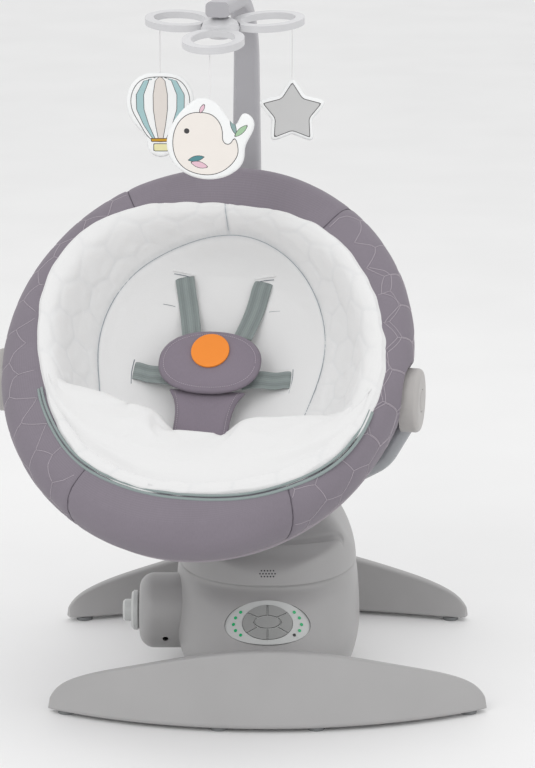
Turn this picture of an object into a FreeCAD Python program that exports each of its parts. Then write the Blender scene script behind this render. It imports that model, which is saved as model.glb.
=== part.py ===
"""Baby swing: a weighted base with a curved guide, and a padded seat that glides from side to side on it.

Row frame: millimetres, +Z up, the front is -Y, +X is the sitter's left.  The origin is on the floor under the
middle of the base.  The seat assembly is modelled centred, then turned about the swing axis into its rest
position, which is the left end of its travel.
"""
import FreeCAD, Part
import math
import os

V = FreeCAD.Vector
Rotation = FreeCAD.Rotation
Placement = FreeCAD.Placement
X_AXIS = V(1, 0, 0)
Y_AXIS = V(0, 1, 0)
Z_AXIS = V(0, 0, 1)

doc = FreeCAD.newDocument("baby_swing")

# ---------------------------------------------------------------- driving dimensions
DIMENSIONS = [
    ("swing_axis_y", 360.0, "distance of the vertical swing axis behind the origin"),
    ("swing_radius", 420.0, "radius of the guide and of the slot"),
    ("swing_rest", -11.0, "turn of the seat about the swing axis at rest, degrees"),
    ("slot_width", 15.0, "width of the curved slot in the top cover"),
    ("slot_half_angle", 13.7, "half length of the slot, degrees"),
    ("foot_radius", 700.0, "plan radius of a foot's outer edge"),
    ("foot_front", 259.0, "front edge of the front foot"),
    ("foot_half_length", 289.0, "half length of a foot"),
    ("foot_height", 101.0, "top of a foot at its middle"),
    ("foot_width", 52.0, "depth of a foot at its middle"),
    ("foot_clearance", 5.0, "underside of a foot above the floor"),
    ("pad_diameter", 23.0, "floor pad"),
    ("centre_pad_diameter", 34.0, "floor pad under the middle of the chassis"),
    ("wall", 3.0, "wall of the moulded casings"),
    ("tongue_width", 130.0, "chassis tongue that carries the feet"),
    ("tongue_length", 470.0, "chassis tongue, front to rear"),
    ("plate_thickness", 6.0, "chassis plate"),
    ("plate_bottom", 15.0, "underside of the chassis plate"),
    ("pod_radius", 51.0, "side pod"),
    ("pod_centre_height", 85.0, "side pod"),
    ("pod_centre_y", -20.0, "side pod"),
    ("pod_end", 174.0, "outer end of the side pod"),
    ("knob_radius", 27.0, "swing lock knob"),
    ("knob_boss_radius", 15.0, "grip of the lock knob"),
    ("knob_shaft_radius", 6.0, "shaft of the lock knob"),
    ("panel_half_width", 56.5, "control bezel"),
    ("panel_half_height", 31.0, "control bezel"),
    ("panel_tilt", 40.4, "elevation of the control panel's normal, degrees"),
    ("keypad_half_width", 33.0, "ring of keys"),
    ("keypad_half_height", 24.0, "ring of keys"),
    ("centre_key_half_width", 16.5, "middle key"),
    ("centre_key_half_height", 8.0, "middle key"),
    ("key_gap", 2.0, "gap between two keys"),
    ("lamp_radius", 2.1, "indicator lamp"),
    ("stem_length", 30.0, "blade that leaves the slot, along the slot"),
    ("stem_thickness", 10.0, "blade that leaves the slot, across the slot"),
    ("stem_top", 240.0, "upper end of the stem"),
    ("carriage_height", 118.0, "underside of the carriage plate"),
    ("carriage_thickness", 6.0, "carriage plate"),
    ("rail_height", 96.0, "underside of the guide rail"),
    ("rail_depth", 14.0, "height of the guide rail"),
    ("rail_thickness", 8.0, "guide rail, across"),
    ("rail_half_angle", 13.6, "half length of the guide rail, degrees"),
    ("roller_radius", 7.0, "guide roller"),
    ("roller_angle", 1.9, "rollers either side of the stem, degrees"),
    ("rack_pitch_radius", 408.0, "pitch radius of the curved rack, teeth inwards"),
    ("gear_module", 1.0, "module of the rack and pinion"),
    ("pinion_teeth", 18.0, "teeth of the drive pinion"),
    ("yoke_tube_radius", 13.0, "bent tube under the seat"),
    ("hub_axis_height", 405.0, "recline axis"),
    ("hub_axis_y", -60.0, "recline axis"),
    ("hub_radius", 42.0, "recline hub"),
    ("hub_inner", 262.0, "inner face of a recline hub"),
    ("hub_outer", 287.0, "outer face of a recline hub"),
    ("pivot_radius", 8.0, "recline pivot pin"),
    ("button_radius", 15.0, "recline button"),
    ("seat_height", 452.5, "centre of the seat ring"),
    ("seat_tilt", 44.0, "seat ring above the horizontal, degrees"),
    ("seat_stretch", 1.076, "length of the seat ring over its width"),
    ("seat_half_width", 274.0, "outside of the padded rim"),
    ("crest_radius", 232.0, "crest of the padded rim"),
    ("crest_rise", 36.0, "crest above the ring plane"),
    ("ring_radius", 250.0, "half width of the ring tube's centre line"),
    ("ring_tube_radius", 9.0, "ring tube"),
    ("strap_width", 26.0, "harness webbing"),
    ("strap_thickness", 2.4, "harness webbing"),
    ("arch_y", 210.0, "middle of the toy arch's column"),
    ("arch_base", 560.0, "lower end of the toy arch"),
    ("arch_bend_height", 806.0, "height where the toy arch starts to curve"),
    ("arch_bend_radius", 92.0, "curve of the toy arch"),
    ("arch_base_width", 42.0, "toy arch"),
    ("arch_tip_width", 31.0, "toy arch"),
    ("arch_thickness", 20.0, "toy arch, front to rear"),
    ("mobile_y", 36.0, "mobile hub"),
    ("mobile_height", 872.0, "middle of the mobile's loops"),
    ("loop_reach", 118.0, "tip of a mobile loop"),
    ("loop_half_width", 40.5, "mobile loop"),
    ("loop_band", 12.0, "band of a mobile loop"),
    ("string_radius", 0.8, "toy cord"),
    ("string_reach", 103.0, "toy cords from the mobile's axis"),
    ("toy_thickness", 8.0, "flat stuffed toys"),
]
sheet = doc.addObject("Spreadsheet::Sheet", "dim")
for row, (alias, value, note) in enumerate(DIMENSIONS, 1):
    sheet.set("A%d" % row, alias)
    sheet.set("B%d" % row, "%g" % value)
    sheet.setAlias("B%d" % row, alias)
    sheet.set("C%d" % row, note)
doc.recompute()


def size(alias):
    """One driving dimension, as a number."""
    return float(sheet.get(alias))


nodes = []


def node(obj, label, placement=None):
    """Registers a finished object as a sub-part with a label and a place."""
    obj.Label = label
    if placement is not None:
        obj.Placement = placement
    nodes.append(obj)
    return obj


def feature(label, shape, placement=None):
    """A sub-part whose shape comes from Part's own functions."""
    obj = doc.addObject("Part::Feature", label)
    obj.Shape = shape
    return node(obj, label, placement)


def bind(obj, **expressions):
    """Ties an object's properties to the sheet; a number is set as it is."""
    for name, expression in expressions.items():
        if isinstance(expression, str):
            obj.setExpression(name, expression)
        else:
            setattr(obj, name, expression)
    return obj


def solid(kind, name, place=None, **sizes):
    """A Part primitive with bound sizes."""
    obj = bind(doc.addObject("Part::" + kind, name), **sizes)
    if place is not None:
        obj.Placement = place
    return obj


def at(x, y, z, axis=Z_AXIS):
    """A placement at a point, with local Z turned to an axis."""
    return Placement(V(x, y, z), Rotation(Z_AXIS, axis))


def fuse(name, *parts):
    """Joins objects into one."""
    obj = doc.addObject("Part::MultiFuse", name)
    obj.Shapes = list(parts)
    return obj


def cut(name, base, tool):
    """Takes one object out of another."""
    obj = doc.addObject("Part::Cut", name)
    obj.Base = base
    obj.Tool = tool
    return obj


def fillet(name, base, radius, picks):
    """Rounds the edges that the test picks."""
    doc.recompute()
    obj = doc.addObject("Part::Fillet", name)
    obj.Base = base
    edges = base.Shape.Edges
    obj.Edges = [(i + 1, radius, radius) for i, edge in enumerate(edges) if picks(edge)]
    return obj


def group(name, parts):
    """Separate solids that share one node."""
    obj = doc.addObject("Part::Compound", name)
    obj.Links = list(parts)
    return obj


def turned(label, outline, place):
    """A PartDesign body turned about its own Z axis from an outline of (radius, height) points."""
    body = doc.addObject("PartDesign::Body", label)
    plane = next(f for f in body.Origin.OriginFeatures if f.Role == "XZ_Plane")
    sketch = body.newObject("Sketcher::SketchObject", label + "_sketch")
    sketch.AttachmentSupport = [(plane, "")]
    sketch.MapMode = "FlatFace"
    points = [V(r, z, 0) for r, z in outline]
    for start, end in zip(points, points[1:] + points[:1]):
        sketch.addGeometry(Part.LineSegment(start, end), False)
    whole = body.newObject("PartDesign::Revolution", label + "_revolution")
    whole.Profile = sketch
    whole.ReferenceAxis = (sketch, ["V_Axis"])
    whole.Angle = 360
    return node(body, label, place)


# ---------------------------------------------------------------- shared geometry
swing_axis = V(0, size("swing_axis_y"), 0)
SWING = Placement(V(0, 0, 0), Rotation(Z_AXIS, size("swing_rest")), swing_axis)
seat_centre = V(0, size("hub_axis_y"), size("seat_height"))
SEAT = SWING.multiply(Placement(seat_centre, Rotation(X_AXIS, size("seat_tilt"))))
BIG = 1200.0


def line(a, b):
    return Part.LineSegment(a, b)


def rounded_wire(points, radius):
    """A closed wire through coplanar points with every corner rounded."""
    edges = []
    count = len(points)
    ends = []
    for i in range(count):
        before, corner, after = points[i - 1], points[i], points[(i + 1) % count]
        to_before = (before - corner).normalize()
        to_after = (after - corner).normalize()
        half = to_before.getAngle(to_after) / 2
        reach = radius / math.tan(half)
        middle = (to_before + to_after).normalize()
        mid_point = corner + middle * (radius / math.sin(half) - radius)
        ends.append((corner + to_before * reach, mid_point, corner + to_after * reach))
    for i in range(count):
        start, middle, end = ends[i]
        edges.append(Part.Arc(start, middle, end).toShape())
        edges.append(line(end, ends[(i + 1) % count][0]).toShape())
    return Part.Wire(edges)


def prism(points, direction):
    """A straight-sided solid from a closed outline."""
    return Part.Face(Part.makePolygon(points + points[:1])).extrude(direction)


def sector_edges(inner, outer, half_angle):
    """A curved bar in plan about the swing axis: two arcs and two ends, centred on the -Y side."""
    half = math.radians(half_angle)

    def point(radius, angle):
        return V(radius * math.sin(angle), -radius * math.cos(angle), 0)

    down = -math.pi / 2
    outer_arc = Part.ArcOfCircle(Part.Circle(V(0, 0, 0), Z_AXIS, outer), down - half, down + half)
    inner_arc = Part.ArcOfCircle(Part.Circle(V(0, 0, 0), Z_AXIS, inner), down - half, down + half)
    left = line(point(outer, -half), point(inner, -half))
    right = line(point(inner, half), point(outer, half))
    return [outer_arc, left, inner_arc, right]


def sector(inner, outer, half_angle, low, high):
    """The same curved bar as a solid in the row frame."""
    edges = [edge.toShape() for edge in sector_edges(inner, outer, half_angle)]
    face = Part.Face(Part.Wire(Part.__sortEdges__(edges)))
    bar = face.extrude(V(0, 0, high - low))
    bar.translate(swing_axis + V(0, 0, low))
    return bar


def oval(height, half_width, front, back, power, inset=0.0):
    """A closed plan curve of the body at one height."""
    middle = (front + back) / 2
    depth = (back - front) / 2 - inset
    width = half_width - inset
    points = []
    count = 28
    for i in range(count):
        angle = 2 * math.pi * i / count
        c, s = math.cos(angle), math.sin(angle)
        points.append(V(math.copysign(abs(c) ** (2 / power), c) * width,
                        middle + math.copysign(abs(s) ** (2 / power), s) * depth, height))
    curve = Part.BSplineCurve()
    curve.interpolate(points, PeriodicFlag=True)
    return Part.Wire(curve.toShape())


LOWER_LEVELS = [(13, 111, -190, 172), (45, 120, -190, 173), (68, 125, -183, 172), (88, 126, -166, 171),
                (112, 125, -147, 168), (134, 123, -127, 164), (144, 121.5, -113, 161), (152, 121, -112, 160)]
COVER_LEVELS = [(152, 121.5, -116, 160), (170, 120, -111, 159), (188, 118, -107, 157), (242, 110, -98, 148)]
COVER_SIDE = [(-122, 150), (-112, 168), (-101, 180), (-62, 195), (-24, 222), (10, 238), (36, 240), (76, 234),
              (112, 218), (142, 190), (166, 150)]
COVER_FRONT = [(-123, 150), (-119, 170), (-105, 198), (-80, 224), (-45, 237), (0, 241), (45, 237), (80, 224),
               (105, 198), (119, 170), (123, 150)]
BODY_POWER = 2.3


def body_loft(levels, inset=0.0, drop=0.0):
    """The body's outside, or its inside when inset."""
    wires = [oval(z - drop, a, front, back, BODY_POWER, inset) for z, a, front, back in levels]
    return Part.makeLoft(wires, True, False)


def slab(low, high):
    """Everything between two heights."""
    block = Part.makeBox(BIG, BIG, high - low)
    block.translate(V(-BIG / 2, -BIG / 2, low))
    return block


wall = size("wall")
lower_outside = body_loft(LOWER_LEVELS)
lower_inside = body_loft(LOWER_LEVELS, wall)

# ---------------------------------------------------------------- feet and chassis


# Height and depth of a foot as shares of its middle, from the middle to a tip.
FOOT_SHAPE = [(0, 1.0, 1.0), (0.2, 0.965, 0.99), (0.36, 0.89, 0.96), (0.52, 0.785, 0.90), (0.68, 0.665, 0.81),
              (0.82, 0.545, 0.68), (0.92, 0.42, 0.53), (0.965, 0.325, 0.42), (0.988, 0.235, 0.33), (1.0, 0.15, 0.24)]


def foot_section(share, high, deep):
    """One section of a foot; share runs from -1 at the left tip to 1 at the right tip."""
    base = size("foot_clearance")
    outer = size("foot_radius")
    rise = (size("foot_height") - base) * high
    width = size("foot_width") * deep
    outer -= 0.35 * (size("foot_width") - width)
    lean = min(0.4 * rise, 0.62 * width)
    top_width = max(0.3 * width, width - lean - 1.0)
    turn = math.asin(share * size("foot_half_length") / outer)
    radial = V(math.sin(turn), -math.cos(turn), 0)
    centre = V(0, size("foot_radius") - size("foot_front"), 0)
    corners = [(outer - width, base), (outer, base), (outer - lean, base + rise),
               (outer - lean - top_width * 0.8, base + rise * 0.99)]
    points = [centre + radial * r + V(0, 0, z) for r, z in corners]
    return rounded_wire(points, min(5.0, 0.28 * top_width, 0.3 * rise))


def foot_solid():
    """A crescent foot, lofted along its arc, with the socket for the chassis tongue."""
    left_half = [(-share, high, deep) for share, high, deep in reversed(FOOT_SHAPE[1:])]
    foot = Part.makeLoft([foot_section(*station) for station in left_half + FOOT_SHAPE], True, False)
    counterbores = [Part.makeCylinder(screw_head_radius + 0.5, plate_bottom, V(x, y, 0)) for x, y in SCREW_PLACES]
    return foot.cut(tongue).cut(counterbores)


SCREW_PLACES = [(50, 232), (-50, 232), (50, -232), (-50, -232)]
screw_head_radius = 4.5
plate_bottom = size("plate_bottom")
plate_top = plate_bottom + size("plate_thickness")
tongue = Part.makeBox(size("tongue_width"), size("tongue_length"), size("plate_thickness"))
tongue.translate(V(-size("tongue_width") / 2, -size("tongue_length") / 2, plate_bottom))
whole_foot = foot_solid()
feature("front_foot", whole_foot)
feature("rear_foot", whole_foot, Placement(V(0, 0, 0), Rotation(Z_AXIS, 180)))

plate = lower_inside.common(slab(plate_bottom, plate_top)).fuse(tongue).removeSplitter()
feature("chassis_plate", plate)

PAD_PLACES = [(264, 181), (63, 238)]
pads = []
for side_y in (-1, 1):
    for place_x, place_y in PAD_PLACES:
        for side_x in (-1, 1):
            name = "pad_%d" % len(pads)
            pads.append(solid("Cylinder", name, at(side_x * place_x, side_y * place_y, 0),
                              Radius="dim.pad_diameter / 2", Height="dim.foot_clearance"))
pads.append(solid("Cylinder", "pad_centre", Radius="dim.centre_pad_diameter / 2", Height="dim.plate_bottom"))
node(group("foot_pads", pads), "foot_pads")

# ---------------------------------------------------------------- body casings
neck_half_width = 92.0
neck_top = 66.0
neck_reach = 225.0


def neck(sign):
    """The bridge from the body to one foot, hollow, trimmed to the foot's inner face."""
    outline = [V(-neck_half_width, 0, 13), V(neck_half_width, 0, 13),
               V(neck_half_width - 12, 0, neck_top), V(12 - neck_half_width, 0, neck_top)]
    outer = Part.Face(rounded_wire(outline, 9)).extrude(V(0, sign * neck_reach, 0))
    inner = Part.makeBox(2 * neck_half_width - 34, neck_reach, neck_top - 22)
    inner.translate(V(17 - neck_half_width, min(0, sign * neck_reach), plate_bottom))
    foot = whole_foot.copy()
    beyond = Part.makeBox(BIG, BIG, BIG)
    beyond.translate(V(-BIG / 2, -size("foot_front") - BIG + 52, 0))
    if sign > 0:
        foot.rotate(V(0, 0, 0), Z_AXIS, 180)
        beyond.rotate(V(0, 0, 0), Z_AXIS, 180)
    return outer.cut(inner).cut(foot).cut(beyond).cut(tongue)


def half_space(sign, border):
    """Everything in front of (-1) or behind (1) a plane across the body."""
    block = Part.makeBox(BIG, BIG, BIG)
    block.translate(V(-BIG / 2, border if sign > 0 else border - BIG, -BIG / 2))
    return block


panel_tilt = math.radians(size("panel_tilt"))
panel_normal = V(0, -math.cos(panel_tilt), math.sin(panel_tilt))
panel_up = V(0, math.sin(panel_tilt), math.cos(panel_tilt))
panel_centre = V(0, -147, 112)
PANEL = Placement(panel_centre, Rotation(X_AXIS, panel_up, panel_normal, "ZXY"))


def panel_prism(half_width, half_height, low, high):
    """An oval prism square to the panel."""
    big, small = max(half_width, half_height), min(half_width, half_height)
    edge = Part.Ellipse(V(0, 0, 0), big, small).toShape()
    block = Part.Face(Part.Wire(edge)).extrude(V(0, 0, high - low))
    block.Placement = PANEL.multiply(Placement(V(0, 0, low), Rotation()))
    return block


split_y = 24.0
shell = lower_outside.cut(lower_inside).cut(tongue)
panel_hole = panel_prism(size("panel_half_width") + 0.4, size("panel_half_height") + 0.4, -30, 30)
pod_hole = Part.makeCylinder(size("pod_radius") - 8, 60, V(-150, size("pod_centre_y"), size("pod_centre_height")),
                             X_AXIS)
body_shell = shell.fuse([neck(-1).cut(lower_inside), neck(1).cut(lower_inside)])
front = body_shell.common(half_space(-1, split_y)).cut(panel_hole).cut(pod_hole)
rear = body_shell.common(half_space(1, split_y))
inlet_hole = Part.makeCylinder(5.5, 40, V(70, 140, 40), Y_AXIS)
feature("front_housing", front)
feature("rear_housing", rear.cut(pod_hole).cut(inlet_hole))


def roof(points, across, drop):
    """Everything below a curved outline that runs straight across the body."""
    spread = 1.0 - drop / 120.0
    places = [V(-200, along * spread, z - drop) if across == X_AXIS else V(along * spread, -200, z - drop)
              for along, z in points]
    curve = Part.BSplineCurve()
    curve.interpolate(places)
    low = [V(p.x, p.y, 100) for p in (places[0], places[-1])]
    edges = [curve.toShape(), line(places[-1], low[1]).toShape(), line(low[1], low[0]).toShape(),
             line(low[0], places[0]).toShape()]
    return Part.Face(Part.Wire(edges)).extrude(across * 400)


def cover_block(inset):
    """The top cover's outside, or its inside when inset."""
    barrel = body_loft(COVER_LEVELS, inset, inset)
    return barrel.common(roof(COVER_SIDE, X_AXIS, inset)).common(roof(COVER_FRONT, Y_AXIS, inset))


cover_outside = cover_block(0.0)
cover_inside = cover_block(wall)
swing_radius = size("swing_radius")
slot_half = size("slot_width") / 2
slot = sector(swing_radius - slot_half, swing_radius + slot_half, size("slot_half_angle"), 150, 260)
cover = cover_outside.cut(cover_inside).cut(slot)
SPEAKER_ROWS = [(-1, 5), (0, 6), (1, 5)]
speaker_pitch = 4.0
holes = []
for level, count in SPEAKER_ROWS:
    for i in range(count):
        across = (i - (count - 1) / 2) * speaker_pitch
        holes.append(Part.makeCylinder(1.1, 40, V(across, -130, 168 + level * 3.5), Y_AXIS))
cover = cover.cut(holes)
feature("top_cover", cover)

seal_inner = sector(swing_radius - slot_half, swing_radius + slot_half, size("slot_half_angle"), 150, 260)
seal_gap = size("stem_thickness") / 2 + 0.7
seal_opening = sector(swing_radius - seal_gap, swing_radius + seal_gap, size("slot_half_angle") - 0.1, 140, 270)
seal = seal_inner.cut(seal_opening).common(cover_outside).cut(cover_inside)
feature("slot_seal", seal)

# ---------------------------------------------------------------- side pod and swing lock
pod_y, pod_z = size("pod_centre_y"), size("pod_centre_height")


def pod_barrel(radius, end, rounding):
    """A barrel that lies along X with a rounded outer end."""
    barrel = Part.makeCylinder(radius, end - 60, V(-end, pod_y, pod_z), X_AXIS)
    rim = [edge for edge in barrel.Edges if abs(edge.BoundBox.Center.x + end) < 0.5]
    return barrel.makeFillet(rounding, rim)


pod = pod_barrel(size("pod_radius"), size("pod_end"), 20)
pod_hollow = pod_barrel(size("pod_radius") - wall, size("pod_end") - wall, 17)
shaft_hole = Part.makeCylinder(size("knob_shaft_radius") + 0.1, 60, V(-200, pod_y, pod_z), X_AXIS)
pod_shell = pod.cut(pod_hollow).cut(lower_outside).cut(shaft_hole)
pod_screw_hole = Part.makeCylinder(4, 40, V(-138, pod_y - 60, pod_z - 26), Y_AXIS)
feature("pod_upper", pod_shell.common(slab(pod_z, 400)))
feature("pod_lower", pod_shell.common(slab(0, pod_z)).cut(pod_screw_hole))

pod_end = size("pod_end")
knob_outline = [(0, 0), (size("knob_shaft_radius"), 0), (size("knob_shaft_radius"), 41),
                (size("knob_radius") - 2, 41), (size("knob_radius"), 43), (size("knob_radius"), 48),
                (size("knob_radius") - 3, 51), (size("knob_boss_radius"), 51), (size("knob_boss_radius"), 60),
                (size("knob_boss_radius") - 3, 63), (0, 63)]
turned("lock_knob", knob_outline, at(-(pod_end - 40), pod_y, pod_z, V(-1, 0, 0)))
cam = Part.makeCylinder(14, 6, V(0, 0, 0), Z_AXIS).fuse(Part.makeBox(10, 30, 6, V(-5, 0, 0)))
cam = cam.cut(Part.makeCylinder(size("knob_shaft_radius"), 20, V(0, 0, -5), Z_AXIS)).removeSplitter()
feature("lock_cam", cam, at(-(pod_end - 50), pod_y, pod_z, V(-1, 0, 0)))

# ---------------------------------------------------------------- control panel
# The panel follows the casing as a shallow cylinder whose axis points up the panel.
panel_curve = 122.0
gap = size("key_gap")
keypad_w, keypad_h = size("keypad_half_width"), size("keypad_half_height")
middle_w, middle_h = size("centre_key_half_width"), size("centre_key_half_height")


def panel_layer(outline, bottom, top):
    """The part of a prism between two depths below or above the casing's surface."""
    outer = Part.makeCylinder(panel_curve + top, 200, V(0, -100, -panel_curve), Y_AXIS)
    inner = Part.makeCylinder(panel_curve + bottom, 200, V(0, -100, -panel_curve), Y_AXIS)
    layer = outer.cut(inner)
    layer.Placement = PANEL.multiply(layer.Placement)
    return outline.common(layer)


bezel = panel_layer(panel_prism(size("panel_half_width"), size("panel_half_height"), -60, 30), -3.0, 2.0)
bezel = bezel.cut(panel_prism(keypad_w + 0.5, keypad_h + 0.5, -70, 40))
lamp_angles = [-38, -20, 0, 20, 38]
lamp_ring_w, lamp_ring_h = 45.0, 26.0


def lamp_rod(side, angle):
    """A light pipe through the bezel, square to the panel."""
    turn = math.radians(angle)
    place = V(side * lamp_ring_w * math.cos(turn), lamp_ring_h * math.sin(turn), -50)
    rod = Part.makeCylinder(size("lamp_radius"), 80, place, Z_AXIS)
    rod.Placement = PANEL.multiply(rod.Placement)
    return rod


rods = [lamp_rod(side, angle) for side in (-1, 1) for angle in lamp_angles]
lamps = [panel_layer(rod, -3.0, 2.8) for rod in rods]
window = lamps.pop(5)
feature("control_bezel", bezel.cut(rods))
feature("indicator_lamps", Part.makeCompound(lamps))
feature("remote_window", window)

ring_keys = panel_prism(keypad_w, keypad_h, -60, 30).cut(panel_prism(middle_w + gap, middle_h + gap, -70, 40))
KEY_SPANS = [("key_right", -28, 28), ("key_top_right", 28, 90), ("key_top_left", 90, 152),
             ("key_left", 152, 208), ("key_bottom_left", 208, 270), ("key_bottom_right", 270, 332)]


def key_wedge(start, end):
    """A wedge on the panel between two directions, set back by half a gap on each side."""
    first, last = math.radians(start), math.radians(end)
    reach = 90.0
    middle = (first + last) / 2
    setback = (gap / 2) / math.sin((last - first) / 2)
    tip = V(math.cos(middle), math.sin(middle), 0) * setback
    corners = [tip, tip + V(math.cos(first), math.sin(first), 0) * reach,
               tip + V(math.cos(middle), math.sin(middle), 0) * reach * 1.5,
               tip + V(math.cos(last), math.sin(last), 0) * reach]
    wedge = prism([c + V(0, 0, -70) for c in corners], V(0, 0, 140))
    wedge.Placement = PANEL
    return wedge


for name, start, end in KEY_SPANS:
    feature(name, panel_layer(ring_keys.common(key_wedge(start, end)), -4.0, 3.2))
feature("key_centre", panel_layer(panel_prism(middle_w, middle_h, -60, 30), -4.0, 3.4))

board = solid("Box", "control_board", Length="dim.panel_half_width * 1.5", Width="dim.panel_half_height * 1.6",
              Height=1.6)
board_place = PANEL.multiply(Placement(V(-size("panel_half_width") * 0.75, -size("panel_half_height") * 0.8, -24),
                                       Rotation()))
node(board, "control_board", board_place)

cone = solid("Cone", "speaker_cone", Radius1=10.0, Radius2=17.0, Height=12.0)
magnet = solid("Cylinder", "speaker_magnet", at(0, 0, -8), Radius=11.0, Height=8.0)
node(fuse("speaker", cone, magnet), "speaker", at(0, -78, 165, V(0, -1, 0)))

socket_body = solid("Cylinder", "inlet_body", Radius=5.5, Height=16.0)
socket_bore = solid("Cylinder", "inlet_bore", at(0, 0, 5), Radius=3.2, Height=20.0)
node(cut("power_inlet", socket_body, socket_bore), "power_inlet", at(70, 149, 40, Y_AXIS))

# ---------------------------------------------------------------- guide, drive and carriage
rail_low = size("rail_height")
rail_high = rail_low + size("rail_depth")
rail_half = size("rail_thickness") / 2
rail = sector(swing_radius - rail_half, swing_radius + rail_half, size("rail_half_angle"), rail_low, rail_high)
rail_angle = math.radians(size("rail_half_angle") - 1.2)
module = size("gear_module")
pitch_radius = size("rack_pitch_radius")
rack_low, rack_high = rail_low - 10, rail_low


def polar(radius, angle):
    """A plan point about the swing axis; angle 0 points to the front."""
    return swing_axis + V(radius * math.sin(angle), -radius * math.cos(angle), 0)


def rack_solid():
    """The curved rack: trapezoid teeth on the inside of a plain bar."""
    pitch_angle = math.pi * module / pitch_radius
    half_count = int(math.radians(size("rail_half_angle")) / pitch_angle)
    flank = math.tan(math.radians(20))
    tip, root = pitch_radius - module, pitch_radius + 1.25 * module
    tip_half = (math.pi / 4 - flank) * module - backlash
    root_half = (math.pi / 4 + 1.25 * flank) * module - backlash
    outline = []
    for i in range(-half_count, half_count + 1):
        middle = i * pitch_angle
        for radius, offset in ((root, -root_half), (tip, -tip_half), (tip, tip_half), (root, root_half)):
            outline.append(polar(radius, middle + offset / radius))
    last = half_count * pitch_angle + pitch_angle / 2
    back = swing_radius - 2
    for i in range(12):
        outline.append(polar(back, last * (1 - 2 * i / 11)))
    rack = prism([p + V(0, 0, rack_low) for p in outline], V(0, 0, rack_high - rack_low))
    return rack


backlash = 0.08
lower_bar = sector(swing_radius - 1.9, swing_radius + rail_half, size("rail_half_angle"), rack_low, rail_low)
posts = []
for angle in (-11, 0, 11):
    post = Part.makeBox(22, 7, rack_low - plate_top, V(-11, -swing_radius - 5, plate_top))
    post.Placement = Placement(swing_axis, Rotation(Z_AXIS, angle)).multiply(post.Placement)
    posts.append(post)
guide = rail.fuse([lower_bar] + posts).removeSplitter()
feature("guide_rail", guide)
feature("arc_rack", rack_solid())

carriage_low = size("carriage_height")
carriage_high = carriage_low + size("carriage_thickness")
roller_r = size("roller_radius")
running = 0.05
outer_track = swing_radius + rail_half + roller_r + running
inner_track = swing_radius - rail_half - roller_r - running
pinion_track = pitch_radius - module * size("pinion_teeth") / 2
roller_pin = 2.5
carriage = sector(pinion_track - 14, outer_track + 4, 2.9, carriage_low, carriage_high)
ROLLERS = []
for side, track in (("outer", outer_track), ("inner", inner_track)):
    for hand, sign in (("left", -1), ("right", 1)):
        ROLLERS.append(("roller_%s_%s" % (side, hand), polar(track, sign * math.radians(size("roller_angle")))))
for name, place in ROLLERS:
    pin = Part.makeCylinder(roller_pin, carriage_low - rail_low - 1.5, place + V(0, 0, rail_low + 1.5), Z_AXIS)
    carriage = carriage.fuse(pin)
feature("swing_carriage", carriage.removeSplitter(), SWING)
for name, place in ROLLERS:
    wheel = solid("Cylinder", name + "_wheel", Radius="dim.roller_radius", Height="dim.rail_depth - 3")
    bore = solid("Cylinder", name + "_bore", at(0, 0, -5), Radius=roller_pin + 0.05, Height=40)
    place = SWING.multiply(Placement(place + V(0, 0, rail_low + 1.5), Rotation()))
    node(cut(name, wheel, bore), name, place)

pinion_centre = polar(pinion_track, 0)
motor_r = 9.3
shaft_r = 3.0
motor_case = solid("Cylinder", "motor_case", at(0, 0, rail_low + 2), Radius=motor_r,
                   Height=carriage_low - rail_low - 2)
motor_bore = solid("Cylinder", "motor_bore", at(0, 0, rail_low), Radius=shaft_r + 0.05, Height=19.5)
node(cut("gear_motor", motor_case, motor_bore), "gear_motor",
     SWING.multiply(Placement(pinion_centre, Rotation())))


def pinion_solid():
    """The drive pinion: involute teeth, a hub and its shaft; a tooth gap faces the rack."""
    teeth = int(size("pinion_teeth"))
    pitch_r = module * teeth / 2
    base_r = pitch_r * math.cos(math.radians(20))
    tip_r, root_r = pitch_r + 0.9 * module, pitch_r - 1.25 * module

    def roll(radius):
        """Involute angle at a radius."""
        pressure = math.acos(min(1.0, base_r / radius))
        return math.tan(pressure) - pressure

    half_at_pitch = math.pi / 2 / teeth - backlash / pitch_r
    outline = []
    for k in range(teeth):
        middle = math.radians(-90) + (k + 0.5) * 2 * math.pi / teeth
        flank_radii = [root_r] + [base_r + (tip_r - base_r) * i / 4 for i in range(5)]
        flank = [(r, half_at_pitch + roll(pitch_r) - roll(max(r, base_r))) for r in flank_radii]
        for r, half in flank:
            outline.append(V(r * math.cos(middle - half), r * math.sin(middle - half), 0))
        for r, half in reversed(flank):
            outline.append(V(r * math.cos(middle + half), r * math.sin(middle + half), 0))
    gear = prism(outline, V(0, 0, rack_high - rack_low - 1))
    return gear.fuse(Part.makeCylinder(shaft_r, 28, V(0, 0, 0), Z_AXIS))


ratio = 2 * pitch_radius / (module * size("pinion_teeth"))
pinion_turn = -ratio * size("swing_rest")
pinion_place = SWING.multiply(Placement(pinion_centre + V(0, 0, rack_low + 0.5), Rotation(Z_AXIS, pinion_turn)))
feature("drive_pinion", pinion_solid(), pinion_place)

stem = solid("Box", "stem_blank", Length="dim.stem_length", Width="dim.stem_thickness",
             Height="dim.stem_top - dim.carriage_height - dim.carriage_thickness")
stem_edges = fillet("stem_rounded", stem, 4.0, lambda e: abs(e.BoundBox.ZLength) > 50)
stem_place = Placement(V(-size("stem_length") / 2, -swing_radius - size("stem_thickness") / 2, carriage_high)
                       + swing_axis, Rotation())
node(stem_edges, "support_stem", SWING.multiply(stem_place))

# ---------------------------------------------------------------- yoke and recline hubs


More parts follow.
